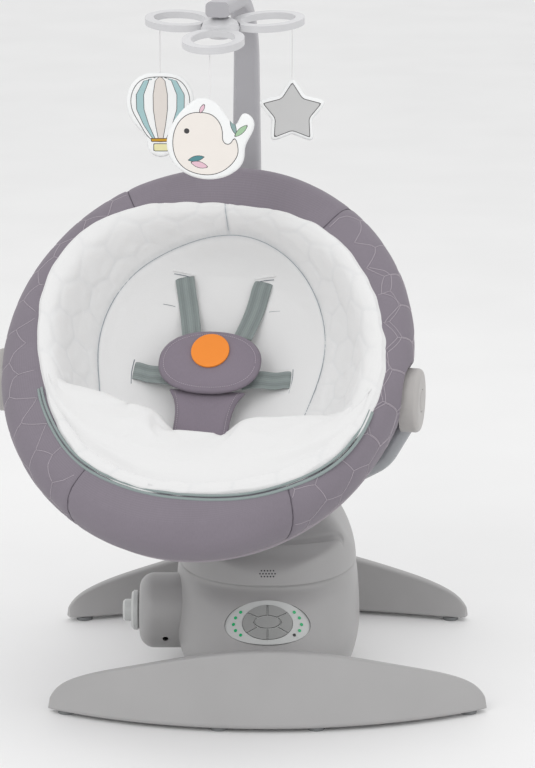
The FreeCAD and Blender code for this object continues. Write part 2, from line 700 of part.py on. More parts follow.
def rounded_path(points, radii):
    """A wire of straight runs joined by tangent arcs."""
    edges = []
    start = points[0]
    for i in range(1, len(points) - 1):
        corner = points[i]
        back = (points[i - 1] - corner).normalize()
        ahead = (points[i + 1] - corner).normalize()
        half = back.getAngle(ahead) / 2
        reach = radii[i - 1] / math.tan(half)
        bisector = (back + ahead).normalize()
        middle = corner + bisector * (radii[i - 1] / math.sin(half) - radii[i - 1])
        edges.append(line(start, corner + back * reach).toShape())
        edges.append(Part.Arc(corner + back * reach, middle, corner + ahead * reach).toShape())
        start = corner + ahead * reach
    edges.append(line(start, points[-1]).toShape())
    return Part.Wire(edges)


def tube(path, radius):
    """A round bar along a path."""
    first = path.Edges[0]
    direction = first.tangentAt(first.FirstParameter)
    start = first.valueAt(first.FirstParameter)
    circle = Part.Wire(Part.Circle(start, direction, radius).toShape())
    return path.makePipeShell([circle], True, False)


hub_y, hub_z = size("hub_axis_y"), size("hub_axis_height")
hub_in, hub_out = size("hub_inner"), size("hub_outer")
YOKE_SIDE = [(273, 384), (238, 322), (172, 284), (90, 256)]
yoke_points = [V(-x, hub_y, z) for x, z in YOKE_SIDE] + [V(x, hub_y, z) for x, z in reversed(YOKE_SIDE)]
yoke = tube(rounded_path(yoke_points, [50, 90, 120, 120, 90, 50]), size("yoke_tube_radius") - 1)
block = Part.makeBox(64, 40, 34, V(-32, hub_y - 20, size("stem_top") - 4))
block = block.makeFillet(6, [e for e in block.Edges if e.BoundBox.ZLength > 30])
stem_socket = Part.makeBox(size("stem_length"), size("stem_thickness"), 20,
                           V(-size("stem_length") / 2, hub_y - size("stem_thickness") / 2, size("stem_top") - 20))
hub_drums = [Part.makeCylinder(size("hub_radius") - 2, hub_out - hub_in, V(x, hub_y, hub_z), X_AXIS)
             for x in (hub_in, -hub_out)]
yoke = yoke.fuse(block).cut(stem_socket).cut(hub_drums)
feature("yoke", yoke.removeSplitter(), SWING)

drums = []
pivot_bore = size("pivot_radius") + running
for name, x_in, sign in (("left", -hub_in, -1), ("right", hub_in, 1)):
    direction = V(sign, 0, 0)
    drum = Part.makeCylinder(size("hub_radius"), hub_out - hub_in, V(x_in, hub_y, hub_z), direction)
    rim = [e for e in drum.Edges if abs(e.BoundBox.Center.x - sign * hub_out) < 0.1]
    drum = drum.makeFillet(7, rim)
    drum = drum.cut(Part.makeCylinder(pivot_bore, 16, V(x_in, hub_y, hub_z), direction))
    drum = drum.cut(Part.makeCylinder(size("button_radius") + 0.4, 20, V(sign * 279, hub_y, hub_z), direction))
    drums.append(drum.cut(yoke))
feature("hub_housings", Part.makeCompound(drums), SWING)
for name, sign in (("left", -1), ("right", 1)):
    button_outline = [(0, 0), (size("button_radius"), 0), (size("button_radius"), 3.5),
                      (size("button_radius") - 1.5, 5), (0, 5.6)]
    turned("recline_button_" + name, button_outline,
           SWING.multiply(at(sign * 282.5, hub_y, hub_z, V(sign, 0, 0))))

# ---------------------------------------------------------------- seat, in its own tilted frame


def stretched(shape):
    """Stretches a round seat shape into the ring's oval."""
    matrix = FreeCAD.Matrix()
    matrix.scale(1, size("seat_stretch"), 1)
    return shape.transformGeometry(matrix)


def spline(points):
    """A smooth curve through (radius, height) points in the seat's section."""
    curve = Part.BSplineCurve()
    curve.interpolate([V(r, 0, h) for r, h in points])
    return curve.toShape()


def seat_solid(curves):
    """Turns a closed section about the seat's own axis, then stretches it."""
    section = Part.Face(Part.Wire(Part.__sortEdges__(curves)))
    return section.revolve(V(0, 0, 0), Z_AXIS, 360)


def section_line(a, b):
    return line(V(a[0], 0, a[1]), V(b[0], 0, b[1])).toShape()


crest, rise, half_seat = size("crest_radius"), size("crest_rise"), size("seat_half_width")
UNDERSIDE = [(0, -128), (110, -117), (200, -90), (256, -54)]
OUTER_WALL = [(256, -54), (268, -32), (half_seat, 0), (267, 22), (252, 33), (crest, rise)]
MEETING = [(crest, rise), (226, 10), (205, -38), (130, -88), (0, -108)]
BOWL = [(crest, rise + 3), (221, 38), (208, 28), (194, -4), (172, -40), (110, -76), (0, -93)]
hub_u = (hub_z - size("seat_height")) * math.sin(math.radians(size("seat_tilt")))
hub_n = (hub_z - size("seat_height")) * math.cos(math.radians(size("seat_tilt")))
cover_shape = seat_solid([spline(UNDERSIDE), spline(OUTER_WALL), spline(MEETING),
                          section_line(MEETING[-1], UNDERSIDE[0])])
recesses = [Part.makeCylinder(size("hub_radius") + 2.5, 60, V(x, hub_u / size("seat_stretch"), hub_n), X_AXIS)
            for x in (hub_in - 3, -hub_in + 3 - 60)]
cover_shape = cover_shape.cut(recesses)
feature("seat_cover", stretched(cover_shape), SEAT)
liner_shape = seat_solid([spline(MEETING), spline(BOWL), section_line(MEETING[-1], BOWL[-1]),
                          section_line(MEETING[0], BOWL[0])])
feature("seat_liner", stretched(liner_shape), SEAT)
ring_shape = stretched(Part.makeTorus(size("ring_radius"), size("ring_tube_radius"), V(0, 0, -4), Z_AXIS))
feature("seat_ring", ring_shape, SEAT)

bracket_face = hub_in - 7
brackets = []
for sign in (-1, 1):
    low_x = min(sign * 237, sign * bracket_face)
    plate = Part.makeBox(bracket_face - 237, 38, 58, V(low_x, hub_u - 19, hub_n - 14))
    pin = Part.makeCylinder(size("pivot_radius"), 23, V(sign * (hub_in - 8), hub_u, hub_n), V(sign, 0, 0))
    brackets.append(plate.fuse(pin).cut(ring_shape).removeSplitter())
feature("ring_brackets", Part.makeCompound(brackets), SEAT)

# ---------------------------------------------------------------- harness, in the seat's frame


def ribbon(points, across, width, thickness):
    """A flat strap through points, its width along one axis of the seat."""
    wires = []
    for x, u, n in points:
        middle = V(x, u, n)
        side = across * (width / 2)
        up = Z_AXIS * (thickness / 2)
        wires.append(Part.makePolygon([middle - side - up, middle + side - up, middle + side + up,
                                       middle - side + up, middle - side - up]))
    return Part.makeLoft(wires, True, True)


webbing, tape = size("strap_width"), size("strap_thickness")
harness_x = -7.0
straps = []
for sign in (-1, 1):
    shoulder = [(sign * 55, 152, -44), (sign * 46, 116, -59), (sign * 36, 78, -66)]
    straps.append(ribbon([(harness_x + x, u, n) for x, u, n in shoulder], X_AXIS, webbing, tape))
    waist = [(sign * 108, 14, -64), (sign * 78, 8, -70), (sign * 40, 4, -73.5)]
    straps.append(ribbon([(harness_x + x, u, n) for x, u, n in waist], Y_AXIS, webbing, tape))
feature("harness_straps", Part.makeCompound(straps), SEAT)
crotch = [(harness_x, -28, -66), (harness_x, -74, -66), (harness_x, -116, -56)]
feature("crotch_pad", ribbon(crotch, X_AXIS, 80, 9), SEAT)


def oval_plate(centre, half_x, half_u, low, high):
    """An oval plate square to the seat."""
    edge = Part.Ellipse(V(0, 0, 0), half_x, half_u).toShape()
    plate = Part.Face(Part.Wire(edge)).extrude(V(0, 0, high - low))
    plate.translate(V(centre[0], centre[1], low))
    return plate


belly_pad = oval_plate((harness_x, 20), 71, 51, -58, -44)
belly_pad = belly_pad.makeFillet(5, [e for e in belly_pad.Edges if e.BoundBox.ZLength < 0.1])
feature("belly_pad", belly_pad, SEAT)
badge = solid("Cylinder", "badge_disc", Radius=26, Height=2.6)
node(fillet("pad_badge", badge, 1.0, lambda e: e.BoundBox.ZLength < 0.1 and e.BoundBox.Center.z > 1), "pad_badge",
     SEAT.multiply(at(harness_x, 33, -44)))
buckle = Part.makeBox(44, 34, 9, V(harness_x - 22, -10, -70.5))
button_hole = Part.makeBox(20.6, 12.6, 9, V(harness_x - 10.3, -5.3, -67.5))
feature("buckle_body", buckle.cut(button_hole).cut(straps), SEAT)
key = solid("Box", "buckle_button", Length=20, Width=12, Height=4)
node(key, "buckle_button", SEAT.multiply(Placement(V(harness_x - 10, -5, -63.5), Rotation())))

# ---------------------------------------------------------------- toy arch and its socket
arch_y, arch_base = size("arch_y"), size("arch_base")
bend_z, bend_r = size("arch_bend_height"), size("arch_bend_radius")
half_depth = size("arch_thickness") / 2
arch_tip_y = size("mobile_y") - 20


def arch_side():
    """The arch in side view: a column that curves forward over the seat."""
    centre = V(0, arch_y - bend_r, bend_z)

    def rim(radius, angle):
        return centre + V(0, radius * math.cos(angle), radius * math.sin(angle))

    outer_r, inner_r = bend_r + half_depth, bend_r - half_depth
    edges = [line(V(0, arch_y + half_depth, arch_base), rim(outer_r, 0)),
             Part.Arc(rim(outer_r, 0), rim(outer_r, math.pi / 4), rim(outer_r, math.pi / 2)),
             line(rim(outer_r, math.pi / 2), V(0, arch_tip_y, bend_z + outer_r)),
             line(V(0, arch_tip_y, bend_z + outer_r), V(0, arch_tip_y, bend_z + inner_r)),
             line(V(0, arch_tip_y, bend_z + inner_r), rim(inner_r, math.pi / 2)),
             Part.Arc(rim(inner_r, math.pi / 2), rim(inner_r, math.pi / 4), rim(inner_r, 0)),
             line(rim(inner_r, 0), V(0, arch_y - half_depth, arch_base)),
             line(V(0, arch_y - half_depth, arch_base), V(0, arch_y + half_depth, arch_base))]
    face = Part.Face(Part.Wire([edge.toShape() for edge in edges]))
    face.translate(V(-60, 0, 0))
    return face.extrude(V(120, 0, 0))


base_half, tip_half = size("arch_base_width") / 2, size("arch_tip_width") / 2
top_z = bend_z + bend_r + half_depth + 1
taper = prism([V(-base_half, -100, arch_base), V(base_half, -100, arch_base),
               V(tip_half, -100, top_z), V(-tip_half, -100, top_z)], V(0, 500, 0))
arch = arch_side().common(taper)
long_edges = [e for e in arch.Edges if e.BoundBox.XLength < 8 and e.Length > 60]
arch = arch.makeFillet(6, long_edges)
mobile_z = size("mobile_height")
mobile_centre = V(0, size("mobile_y"), mobile_z)
MOBILE = SWING.multiply(Placement(mobile_centre, Rotation(X_AXIS, 7).multiply(Rotation(Z_AXIS, 4))))
MOBILE_CENTRED = Placement(mobile_centre, Rotation(X_AXIS, 7).multiply(Rotation(Z_AXIS, 4)))
spindle_r = 4.0
spindle_bore = Part.makeCylinder(spindle_r + running, 60, V(0, 0, 0), Z_AXIS)
spindle_bore.Placement = MOBILE_CENTRED
spindle_bore = spindle_bore.common(slab(800, bend_z + bend_r + half_depth - 6))
feature("toy_arch", arch.cut(spindle_bore), SWING)

socket = Part.makeBox(62, 120, 96, V(-31, arch_y + half_depth + 8 - 120, arch_base - 8))
socket = socket.makeFillet(9, socket.Edges)
column_hole = Part.makeBox(size("arch_base_width"), size("arch_thickness"), 200,
                           V(-base_half, arch_y - half_depth, arch_base))
keep_out = Part.makeCylinder(half_seat * size("seat_stretch") + 0.2, 400, V(0, 0, -300), Z_AXIS)
keep_out.Placement = Placement(seat_centre, Rotation(X_AXIS, size("seat_tilt")))
hook_start = (size("ring_radius") - 10) * size("seat_stretch")
hook = Part.makeBox(36, half_seat * size("seat_stretch") + 8 - hook_start, 26, V(-18, hook_start, -40))
hook.Placement = keep_out.Placement
socket = socket.cut(keep_out).fuse(hook).cut(column_hole)
feature("arch_socket", socket.removeSplitter(), SWING)

# ---------------------------------------------------------------- mobile and toys
hub_outline = [(0, -12), (16, -12), (24, -6), (26, 0), (22, 8), (12, 13), (spindle_r, 14), (spindle_r, 28), (0, 28)]
turned("mobile_hub", hub_outline, MOBILE)


def loop_solid(angle):
    """One open loop of the mobile, reaching out from the hub."""
    reach, band = size("loop_reach"), size("loop_band")
    inner_end = 20.0
    length = (reach - inner_end) / 2
    half = size("loop_half_width")
    outer = Part.Face(Part.Wire(Part.Ellipse(V(0, 0, 0), length, half).toShape())).extrude(V(0, 0, 9))
    inner_edge = Part.Ellipse(V(0, 0, 0), length - band, half - band).toShape()
    inner = Part.Face(Part.Wire(inner_edge)).extrude(V(0, 0, 9))
    loop = outer.cut(inner)
    loop.translate(V(inner_end + length, 0, -4.5))
    loop.rotate(V(0, 0, 0), Z_AXIS, angle)
    hub_space = Part.makeCylinder(26, 40, V(0, 0, -20), Z_AXIS)
    return loop.cut(hub_space)


LOOP_ANGLES = {"bird": -90, "star": 30, "balloon": 150}
feature("mobile_loops", Part.makeCompound([loop_solid(angle) for angle in LOOP_ANGLES.values()]), MOBILE)

TOY_TOPS = {"bird": 797.0, "star": 799.0, "balloon": 804.0}


def flat_toy(outline):
    """A flat stuffed toy: a smooth outline in the XZ plane, as thick as the toys are."""
    curve = Part.BSplineCurve()
    half = size("toy_thickness") / 2
    curve.interpolate([V(x, -half, z) for x, z in outline], PeriodicFlag=True)
    return Part.Face(Part.Wire(curve.toShape())).extrude(V(0, 2 * half, 0))


def balloon_shape():
    """A hot-air balloon with its basket."""
    half = [(28, -6), (44, -28), (44, -52), (32, -74), (20, -88), (17, -104), (9, -113)]
    return flat_toy([(0, 0)] + half + [(-x, z) for x, z in reversed(half)])


def star_shape():
    """A plump five-pointed star."""
    points = []
    for i in range(10):
        radius = 50 if i % 2 == 0 else 29
        angle = math.pi / 2 + i * math.pi / 5
        points.append(V(radius * math.cos(angle), -size("toy_thickness") / 2, radius * math.sin(angle) - 46))
    return Part.Face(rounded_wire(points, 7)).extrude(V(0, size("toy_thickness"), 0))


def bird_shape():
    """A round bird with its tail up."""
    return flat_toy([(-10, -1), (8, -8), (22, -26), (33, -36), (43, -22), (55, -28), (54, -48), (46, -64),
                     (43, -84), (27, -101), (0, -108), (-28, -102), (-49, -84), (-56, -60), (-48, -34), (-30, -12)])


SHAPES = {"bird": bird_shape, "star": star_shape, "balloon": balloon_shape}
cord_gap = 0.5
for name, angle in LOOP_ANGLES.items():
    turn = math.radians(angle)
    reach = size("string_reach")
    pivot = MOBILE.multVec(V(reach * math.cos(turn), reach * math.sin(turn), -4.5))
    top = TOY_TOPS[name]
    feature("toy_" + name, SHAPES[name](), Placement(V(pivot.x, pivot.y, top), Rotation()))
    length = pivot.z - cord_gap - top
    cord = solid("Cylinder", "toy_cord_" + name, Radius="dim.string_radius", Height=length)
    node(cord, "toy_cord_" + name, Placement(V(pivot.x, pivot.y, top), Rotation()))
    print("cord", name, [round(c, 2) for c in pivot], "length", round(length, 2))

# ---------------------------------------------------------------- screws
screws = []
for x, y in SCREW_PLACES:
    head = solid("Cylinder", "screw_head_%d" % len(screws), at(x, y, plate_bottom - 3), Radius=screw_head_radius, Height=3)
    screws.append(head)
node(group("screws", screws), "screws")

# ---------------------------------------------------------------- checks and export
doc.recompute()
for obj in doc.Objects:
    if "Invalid" in obj.State or "Error" in obj.State:
        raise RuntimeError("failed object: " + obj.Label)
os.makedirs("parts", exist_ok=True)
for obj in nodes:
    shape = obj.Shape
    if shape.isNull() or not shape.isValid() or not shape.Solids:
        raise RuntimeError("bad shape: " + obj.Label)
    shape.exportStep(os.path.join("parts", obj.Label + ".step"))
    print(obj.Label, len(shape.Solids), "solids", round(shape.Volume / 1000, 1), "cm3")
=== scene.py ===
"""The baby swing's looks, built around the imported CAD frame.  Metres, +Z up, the front is -Y."""
import math

import bpy
import numpy as np
from mathutils import Matrix, Vector, noise
from mathutils.bvhtree import BVHTree
from mathutils.geometry import delaunay_2d_cdt


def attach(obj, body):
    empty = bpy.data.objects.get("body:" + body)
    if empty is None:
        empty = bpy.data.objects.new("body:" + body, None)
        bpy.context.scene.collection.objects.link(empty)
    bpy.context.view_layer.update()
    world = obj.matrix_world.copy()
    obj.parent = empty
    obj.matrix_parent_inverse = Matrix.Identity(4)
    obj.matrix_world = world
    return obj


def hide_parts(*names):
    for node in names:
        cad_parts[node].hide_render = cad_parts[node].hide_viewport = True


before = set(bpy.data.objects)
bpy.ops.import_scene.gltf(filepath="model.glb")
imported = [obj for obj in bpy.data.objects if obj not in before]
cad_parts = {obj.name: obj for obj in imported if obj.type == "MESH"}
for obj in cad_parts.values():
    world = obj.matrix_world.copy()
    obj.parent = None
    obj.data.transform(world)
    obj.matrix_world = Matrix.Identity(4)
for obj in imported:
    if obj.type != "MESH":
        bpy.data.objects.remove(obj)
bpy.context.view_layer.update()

scene = bpy.context.scene
MM = 0.001

# ---------------------------------------------------------------- camera
camera_data = bpy.data.cameras.new("camera")
camera_data.lens = 130.3
camera_data.sensor_width = 36
camera = bpy.data.objects.new("camera", camera_data)
camera.location = (0, -3.606, 1.365)
camera.rotation_euler = (math.radians(75), 0, 0)
scene.collection.objects.link(camera)
scene.camera = camera

# ---------------------------------------------------------------- frames of the moving parts
SWING_AXIS = Vector((0, 0.36, 0))
REST_TURN, SEAT_TILT = math.radians(-11), math.radians(44)
SWING = Matrix.Translation(SWING_AXIS) @ Matrix.Rotation(REST_TURN, 4, "Z") @ Matrix.Translation(-SWING_AXIS)
SEAT = SWING @ Matrix.Translation((0, -0.06, 0.4525)) @ Matrix.Rotation(SEAT_TILT, 4, "X")
MOBILE = (SWING @ Matrix.Translation((0, 0.036, 0.872)) @ Matrix.Rotation(math.radians(7), 4, "X")
          @ Matrix.Rotation(math.radians(4), 4, "Z"))
STRETCH = 1.076


# ---------------------------------------------------------------- colour and materials
def linear(code):
    """A colour code as linear RGB with alpha."""
    channels = [int(code[i:i + 2], 16) / 255 for i in (0, 2, 4)]
    return [c / 12.92 if c <= 0.04045 else ((c + 0.055) / 1.055) ** 2.4 for c in channels] + [1.0]


def shade(colour, factor):
    return [min(1.0, c * factor) for c in colour[:3]] + [1.0]


class Recipe:
    """A node material under construction."""

    def __init__(self, name, **sockets):
        self.material = bpy.data.materials.new(name)
        self.material.use_nodes = True
        self.tree = self.material.node_tree
        self.shader = self.tree.nodes["Principled BSDF"]
        for socket, value in sockets.items():
            self.shader.inputs[socket.replace("_", " ")].default_value = value
        self.place = self.add("ShaderNodeTexCoord").outputs["Object"]
        self.height = None

    def add(self, kind, **settings):
        node = self.tree.nodes.new(kind)
        for key, value in settings.items():
            setattr(node, key, value)
        return node

    def link(self, a, b):
        self.tree.links.new(a, b)

    def noise(self, scale, detail=2.0, vector=None, stretch=None):
        node = self.add("ShaderNodeTexNoise")
        node.inputs["Scale"].default_value = scale
        node.inputs["Detail"].default_value = detail
        source = vector or self.place
        if stretch:
            mapping = self.add("ShaderNodeMapping")
            mapping.inputs["Scale"].default_value = stretch
            self.link(source, mapping.inputs["Vector"])
            source = mapping.outputs["Vector"]
        self.link(source, node.inputs["Vector"])
        return node.outputs["Fac"]

    def wave(self, scale, axis, vector=None):
        node = self.add("ShaderNodeTexWave", bands_direction=axis)
        node.inputs["Scale"].default_value = scale
        node.inputs["Distortion"].default_value = 0.6
        self.link(vector or self.place, node.inputs["Vector"])
        return node.outputs["Fac"]

    def math(self, operation, a, b=None):
        node = self.add("ShaderNodeMath", operation=operation)
        for socket, value in zip(node.inputs, (a, b)):
            if value is None:
                continue
            if isinstance(value, (int, float)):
                socket.default_value = value
            else:
                self.link(value, socket)
        return node.outputs[0]

    def ramp(self, fac, *stops):
        node = self.add("ShaderNodeValToRGB")
        elements = node.color_ramp.elements
        while len(elements) < len(stops):
            elements.new(0.5)
        for element, (position, colour) in zip(elements, stops):
            element.position = position
            element.color = colour if hasattr(colour, "__len__") else (colour, colour, colour, 1)
        self.link(fac, node.inputs["Fac"])
        return node.outputs["Color"]

    def mix(self, fac, a, b, blend="MIX"):
        """The colour mix; a Mix node keeps its colour sockets at 6 and 7 and its colour result at 2."""
        node = self.add("ShaderNodeMix", data_type="RGBA", blend_type=blend)
        slots = [node.inputs[0], node.inputs[6], node.inputs[7]]
        for socket, value in zip(slots, (fac, a, b)):
            if isinstance(value, (int, float, list, tuple)):
                socket.default_value = value
            else:
                self.link(value, socket)
        return node.outputs[2]

    def attribute(self, name):
        return self.add("ShaderNodeAttribute", attribute_name=name).outputs["Fac"]

    def colour(self, output):
        self.link(output, self.shader.inputs["Base Color"])

    def rough(self, fac, low, high):
        node = self.add("ShaderNodeMapRange")
        node.inputs["To Min"].default_value = low
        node.inputs["To Max"].default_value = high
        self.link(fac, node.inputs["Value"])
        self.link(node.outputs["Result"], self.shader.inputs["Roughness"])

    def bump(self, height, distance, strength=1.0):
        node = self.add("ShaderNodeBump")
        node.inputs["Distance"].default_value = distance
        node.inputs["Strength"].default_value = strength
        self.link(height, node.inputs["Height"])
        if self.height is not None:
            self.link(self.height, node.inputs["Normal"])
        self.height = node.outputs["Normal"]
        self.link(self.height, self.shader.inputs["Normal"])


def plastic(name, code, low=0.38, high=0.46, grain=0.00003, variation=0.035, **sockets):
    """Moulded plastic: a fine even grain, faint cloudiness and handling marks."""
    recipe = Recipe(name, **sockets)
    colour = linear(code)
    cloud = recipe.noise(9.0, 3.0)
    dark, light = shade(colour, 1 - variation), shade(colour, 1 + variation)
    recipe.colour(recipe.ramp(cloud, (0.3, dark), (0.7, light)))
    recipe.rough(recipe.noise(60.0, 4.0), low, high)
    recipe.bump(recipe.noise(2600.0, 1.0), grain, 0.6)
    return recipe.material


def metal(name, code, roughness):
    recipe = Recipe(name, Metallic=1.0)
    colour = linear(code)
    brushed = recipe.noise(400.0, 3.0, stretch=(1, 1, 0.08))
    recipe.colour(recipe.ramp(brushed, (0.3, shade(colour, 0.9)), (0.7, colour)))
    recipe.rough(brushed, roughness - 0.06, roughness + 0.08)
    recipe.bump(brushed, 0.00002, 0.5)
    return recipe.material


def woven(name, code, scale=1500.0, contrast=0.07, sheen=0.25, depth=0.00010, mottled=0.05):
    """Woven cloth: crossing threads in the surface's own UVs, with a slight heather."""
    recipe = Recipe(name, Sheen_Weight=sheen, Sheen_Roughness=0.45, Specular_IOR_Level=0.2)
    uv = recipe.add("ShaderNodeUVMap").outputs["UV"]
    colour = linear(code)
    warp = recipe.wave(scale / 6, "X", uv)
    weft = recipe.wave(scale / 6, "Y", uv)
    threads = recipe.math("MULTIPLY", recipe.math("ADD", warp, weft), 0.5)
    heather = recipe.noise(1.0, 2.0, uv, (scale * 0.5, scale * 0.12, 1))
    cloud = recipe.noise(14.0, 3.0)
    tone = recipe.math("ADD", recipe.math("MULTIPLY", threads, 0.45), recipe.math("MULTIPLY", heather, 0.55))
    base = recipe.ramp(tone, (0.25, shade(colour, 1 - contrast)), (0.75, shade(colour, 1 + contrast)))
    cloudy = recipe.ramp(cloud, (0.3, 1 - mottled), (0.7, 1.0))
    recipe.colour(recipe.mix(1.0, base, cloudy, "MULTIPLY"))
    recipe.rough(heather, 0.78, 0.9)
    recipe.bump(threads, depth, 0.7)
    recipe.bump(recipe.noise(90.0, 3.0), 0.0006, 0.35)
    return recipe


def jersey(name, code):
    """Fine knitted cotton: soft, slightly fuzzy, with shallow creases; a grey-blue tint paints shade into its
    grooves.
    """
    recipe = Recipe(name, Sheen_Weight=0.3, Sheen_Roughness=0.5, Specular_IOR_Level=0.15)
    uv = recipe.add("ShaderNodeUVMap").outputs["UV"]
    colour = linear(code)
    knit = recipe.noise(1.0, 2.0, uv, (1500, 700, 1))
    base = recipe.ramp(knit, (0.3, shade(colour, 0.965)), (0.7, shade(colour, 1.0)))
    groove = recipe.attribute("groove")
    # painted shade: the grey-blue tint darkens the seam and quilting grooves
    recipe.colour(recipe.mix(recipe.math("MULTIPLY", groove, 0.35), base, linear("b9bec4")))
    recipe.rough(knit, 0.8, 0.92)
    recipe.bump(knit, 0.00012, 0.6)
    recipe.bump(recipe.noise(38.0, 4.0), 0.0012, 0.4)
    return recipe.material


def strap_material(name, code):
    """Polyester webbing: lengthwise ribs, a darker pair of stripes and fine cross picks."""
    recipe = Recipe(name, Sheen_Weight=0.15, Specular_IOR_Level=0.3)
    split = recipe.add("ShaderNodeSeparateXYZ")
    uv = recipe.add("ShaderNodeUVMap").outputs["UV"]
    recipe.link(uv, split.inputs[0])
    across, along = split.outputs[0], split.outputs[1]
    colour = linear(code)
    ribs = recipe.math("SINE", recipe.math("MULTIPLY", across, math.tau * 9))
    picks = recipe.math("SINE", recipe.math("MULTIPLY", along, math.tau * 700))
    stripes = recipe.math("COSINE", recipe.math("MULTIPLY", across, math.tau * 2))
    tone = recipe.math("ADD", recipe.math("MULTIPLY", ribs, 0.12), recipe.math("MULTIPLY", stripes, 0.22))
    tone = recipe.math("ADD", recipe.math("ADD", tone, recipe.math("MULTIPLY", picks, 0.1)), 0.5)
    recipe.colour(recipe.ramp(tone, (0.15, shade(colour, 0.78)), (0.85, shade(colour, 1.14))))
    recipe.rough(tone, 0.55, 0.75)
    recipe.bump(recipe.math("ADD", ribs, recipe.math("MULTIPLY", picks, 0.6)), 0.00018, 0.8)
    return recipe.material


def emissive(name, code, strength):
    recipe = Recipe(name, Roughness=0.2, Emission_Strength=strength, Coat_Weight=0.4)
    colour = linear(code)
    glow = recipe.noise(900.0)
    recipe.colour(recipe.ramp(glow, (0.2, shade(colour, 0.85)), (0.8, colour)))
    recipe.shader.inputs["Emission Color"].default_value = colour
    return recipe.material


grey = plastic("grey_plastic", "a8a7a7")
grey_pale = plastic("grey_pale_plastic", "c6c8c7", 0.32, 0.4)
warm_grey = plastic("warm_plastic", "b3b0ae", 0.4, 0.5)
arch_grey = plastic("arch_plastic", "aeadb1", 0.34, 0.42)
loop_grey = plastic("loop_plastic", "cfcfd1", 0.32, 0.4)
key_grey = plastic("key_plastic", "979897", 0.42, 0.52)
dark_plastic = plastic("dark_plastic", "3a3c3e", 0.4, 0.5)
rubber = plastic("floor_rubber", "77797a", 0.65, 0.8, grain=0.00008)
steel = metal("steel", "b8bbbd", 0.32)
tube_paint = plastic("tube_paint", "9a9ca0", 0.25, 0.32, Coat_Weight=0.3, Coat_Roughness=0.15)
orange = plastic("badge_rubber", "f08a24", 0.5, 0.6, grain=0.00008, variation=0.03)
lamp_on = emissive("lamp_green", "1f9d62", 0.25)
window = plastic("window_dark", "101214", 0.08, 0.14, grain=0.0, Coat_Weight=0.6)
mauve = woven("mauve_fabric", "857e87", sheen=0.12).material
mauve_pad = woven("pad_fabric", "857c87", scale=1700.0, sheen=0.12).material
piping_cloth = woven("piping_fabric", "a39ba3", scale=1900.0, contrast=0.1).material
white = jersey("white_jersey", "e6e6e6")
webbing = strap_material("webbing", "8b9493")
hem_tape = strap_material("hem_tape", "8c9897")
thread_pale = plastic("thread_pale", "b3abb3", 0.6, 0.7)
# The next grey is painted shade, drawn where the liner's slits open.
thread_grey = plastic("thread_grey", "6f7780", 0.6, 0.7)
thread_dark = plastic("thread_dark", "57515a", 0.7, 0.8)
thread_soft = plastic("thread_soft", "99a1a8", 0.6, 0.7)
cord_cotton = plastic("cord_cotton", "e6e6e6", 0.7, 0.8)

NODE_MATERIALS = {
    grey: ["front_housing", "rear_housing", "top_cover", "pod_upper", "pod_lower", "front_foot", "rear_foot",
           "arch_socket"],
    arch_grey: ["toy_arch"],
    loop_grey: ["mobile_loops", "mobile_hub"],
    warm_grey: ["hub_housings", "recline_button_left", "recline_button_right"],
    dark_plastic: ["lock_cam", "speaker", "power_inlet", "buckle_body", "gear_motor", "drive_pinion"],
    rubber: ["foot_pads"],
    grey_pale: ["lock_knob", "control_bezel", "control_board"],
    steel: ["chassis_plate", "guide_rail", "arc_rack", "screws", "swing_carriage", "support_stem",
            "ring_brackets"],
    tube_paint: ["yoke", "seat_ring"],
    orange: ["pad_badge", "buckle_button"],
    lamp_on: ["indicator_lamps"],
    window: ["remote_window"],
}


def dress(node, material):
    """Gives a CAD node its material."""
    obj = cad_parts[node]
    obj.data.materials.clear()
    obj.data.materials.append(material)


for material, names in NODE_MATERIALS.items():
    for name in names:
        dress(name, material)
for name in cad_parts:
    if name.startswith("key_"):
        dress(name, key_grey)
    if name.startswith("roller_"):
        dress(name, dark_plastic)


# ---------------------------------------------------------------- mesh helpers
def arc_length(points):
    """The length from the first point to each point of a line."""
    return np.concatenate([[0], np.cumsum(np.linalg.norm(np.diff(points, axis=0), axis=1))])


def directions(points):
    """Unit vectors along a line."""
    ahead = np.gradient(points, axis=0)
    return ahead / np.linalg.norm(ahead, axis=1)[:, None]


def curve_through(points, count):
    """A smooth curve through points, as an array: a natural cubic spline over the chord length."""
    points = np.asarray(points, float)
    lengths = np.linalg.norm(np.diff(points, axis=0), axis=1)
    knots = arc_length(points)
    size = len(points)
    matrix = np.eye(size)
    right = np.zeros_like(points)
    for i in range(1, size - 1):
        before, after = lengths[i - 1], lengths[i]
        matrix[i, i - 1:i + 2] = before, 2 * (before + after), after
        right[i] = 6 * ((points[i + 1] - points[i]) / after - (points[i] - points[i - 1]) / before)
    second = np.linalg.solve(matrix, right)
    at = np.linspace(0, knots[-1], count)
    piece = np.clip(np.searchsorted(knots, at, "right") - 1, 0, size - 2)
    width = lengths[piece][:, None]
    b = ((at - knots[piece])[:, None]) / width
    a = 1 - b
    bend = ((a ** 3 - a) * second[piece] + (b ** 3 - b) * second[piece + 1]) * width ** 2 / 6
    return a * points[piece] + b * points[piece + 1] + bend


def chain(*curves):
    """Curves end to end, without the repeated points."""
    joined = [curves[0]] + [curve[1:] for curve in curves[1:]]
    return np.concatenate(joined)


def link(name, mesh, material, smooth=True):
    obj = bpy.data.objects.new(name, mesh)
    scene.collection.objects.link(obj)
    mesh.materials.append(material)
    mesh.shade_smooth() if smooth else mesh.shade_flat()
    return obj


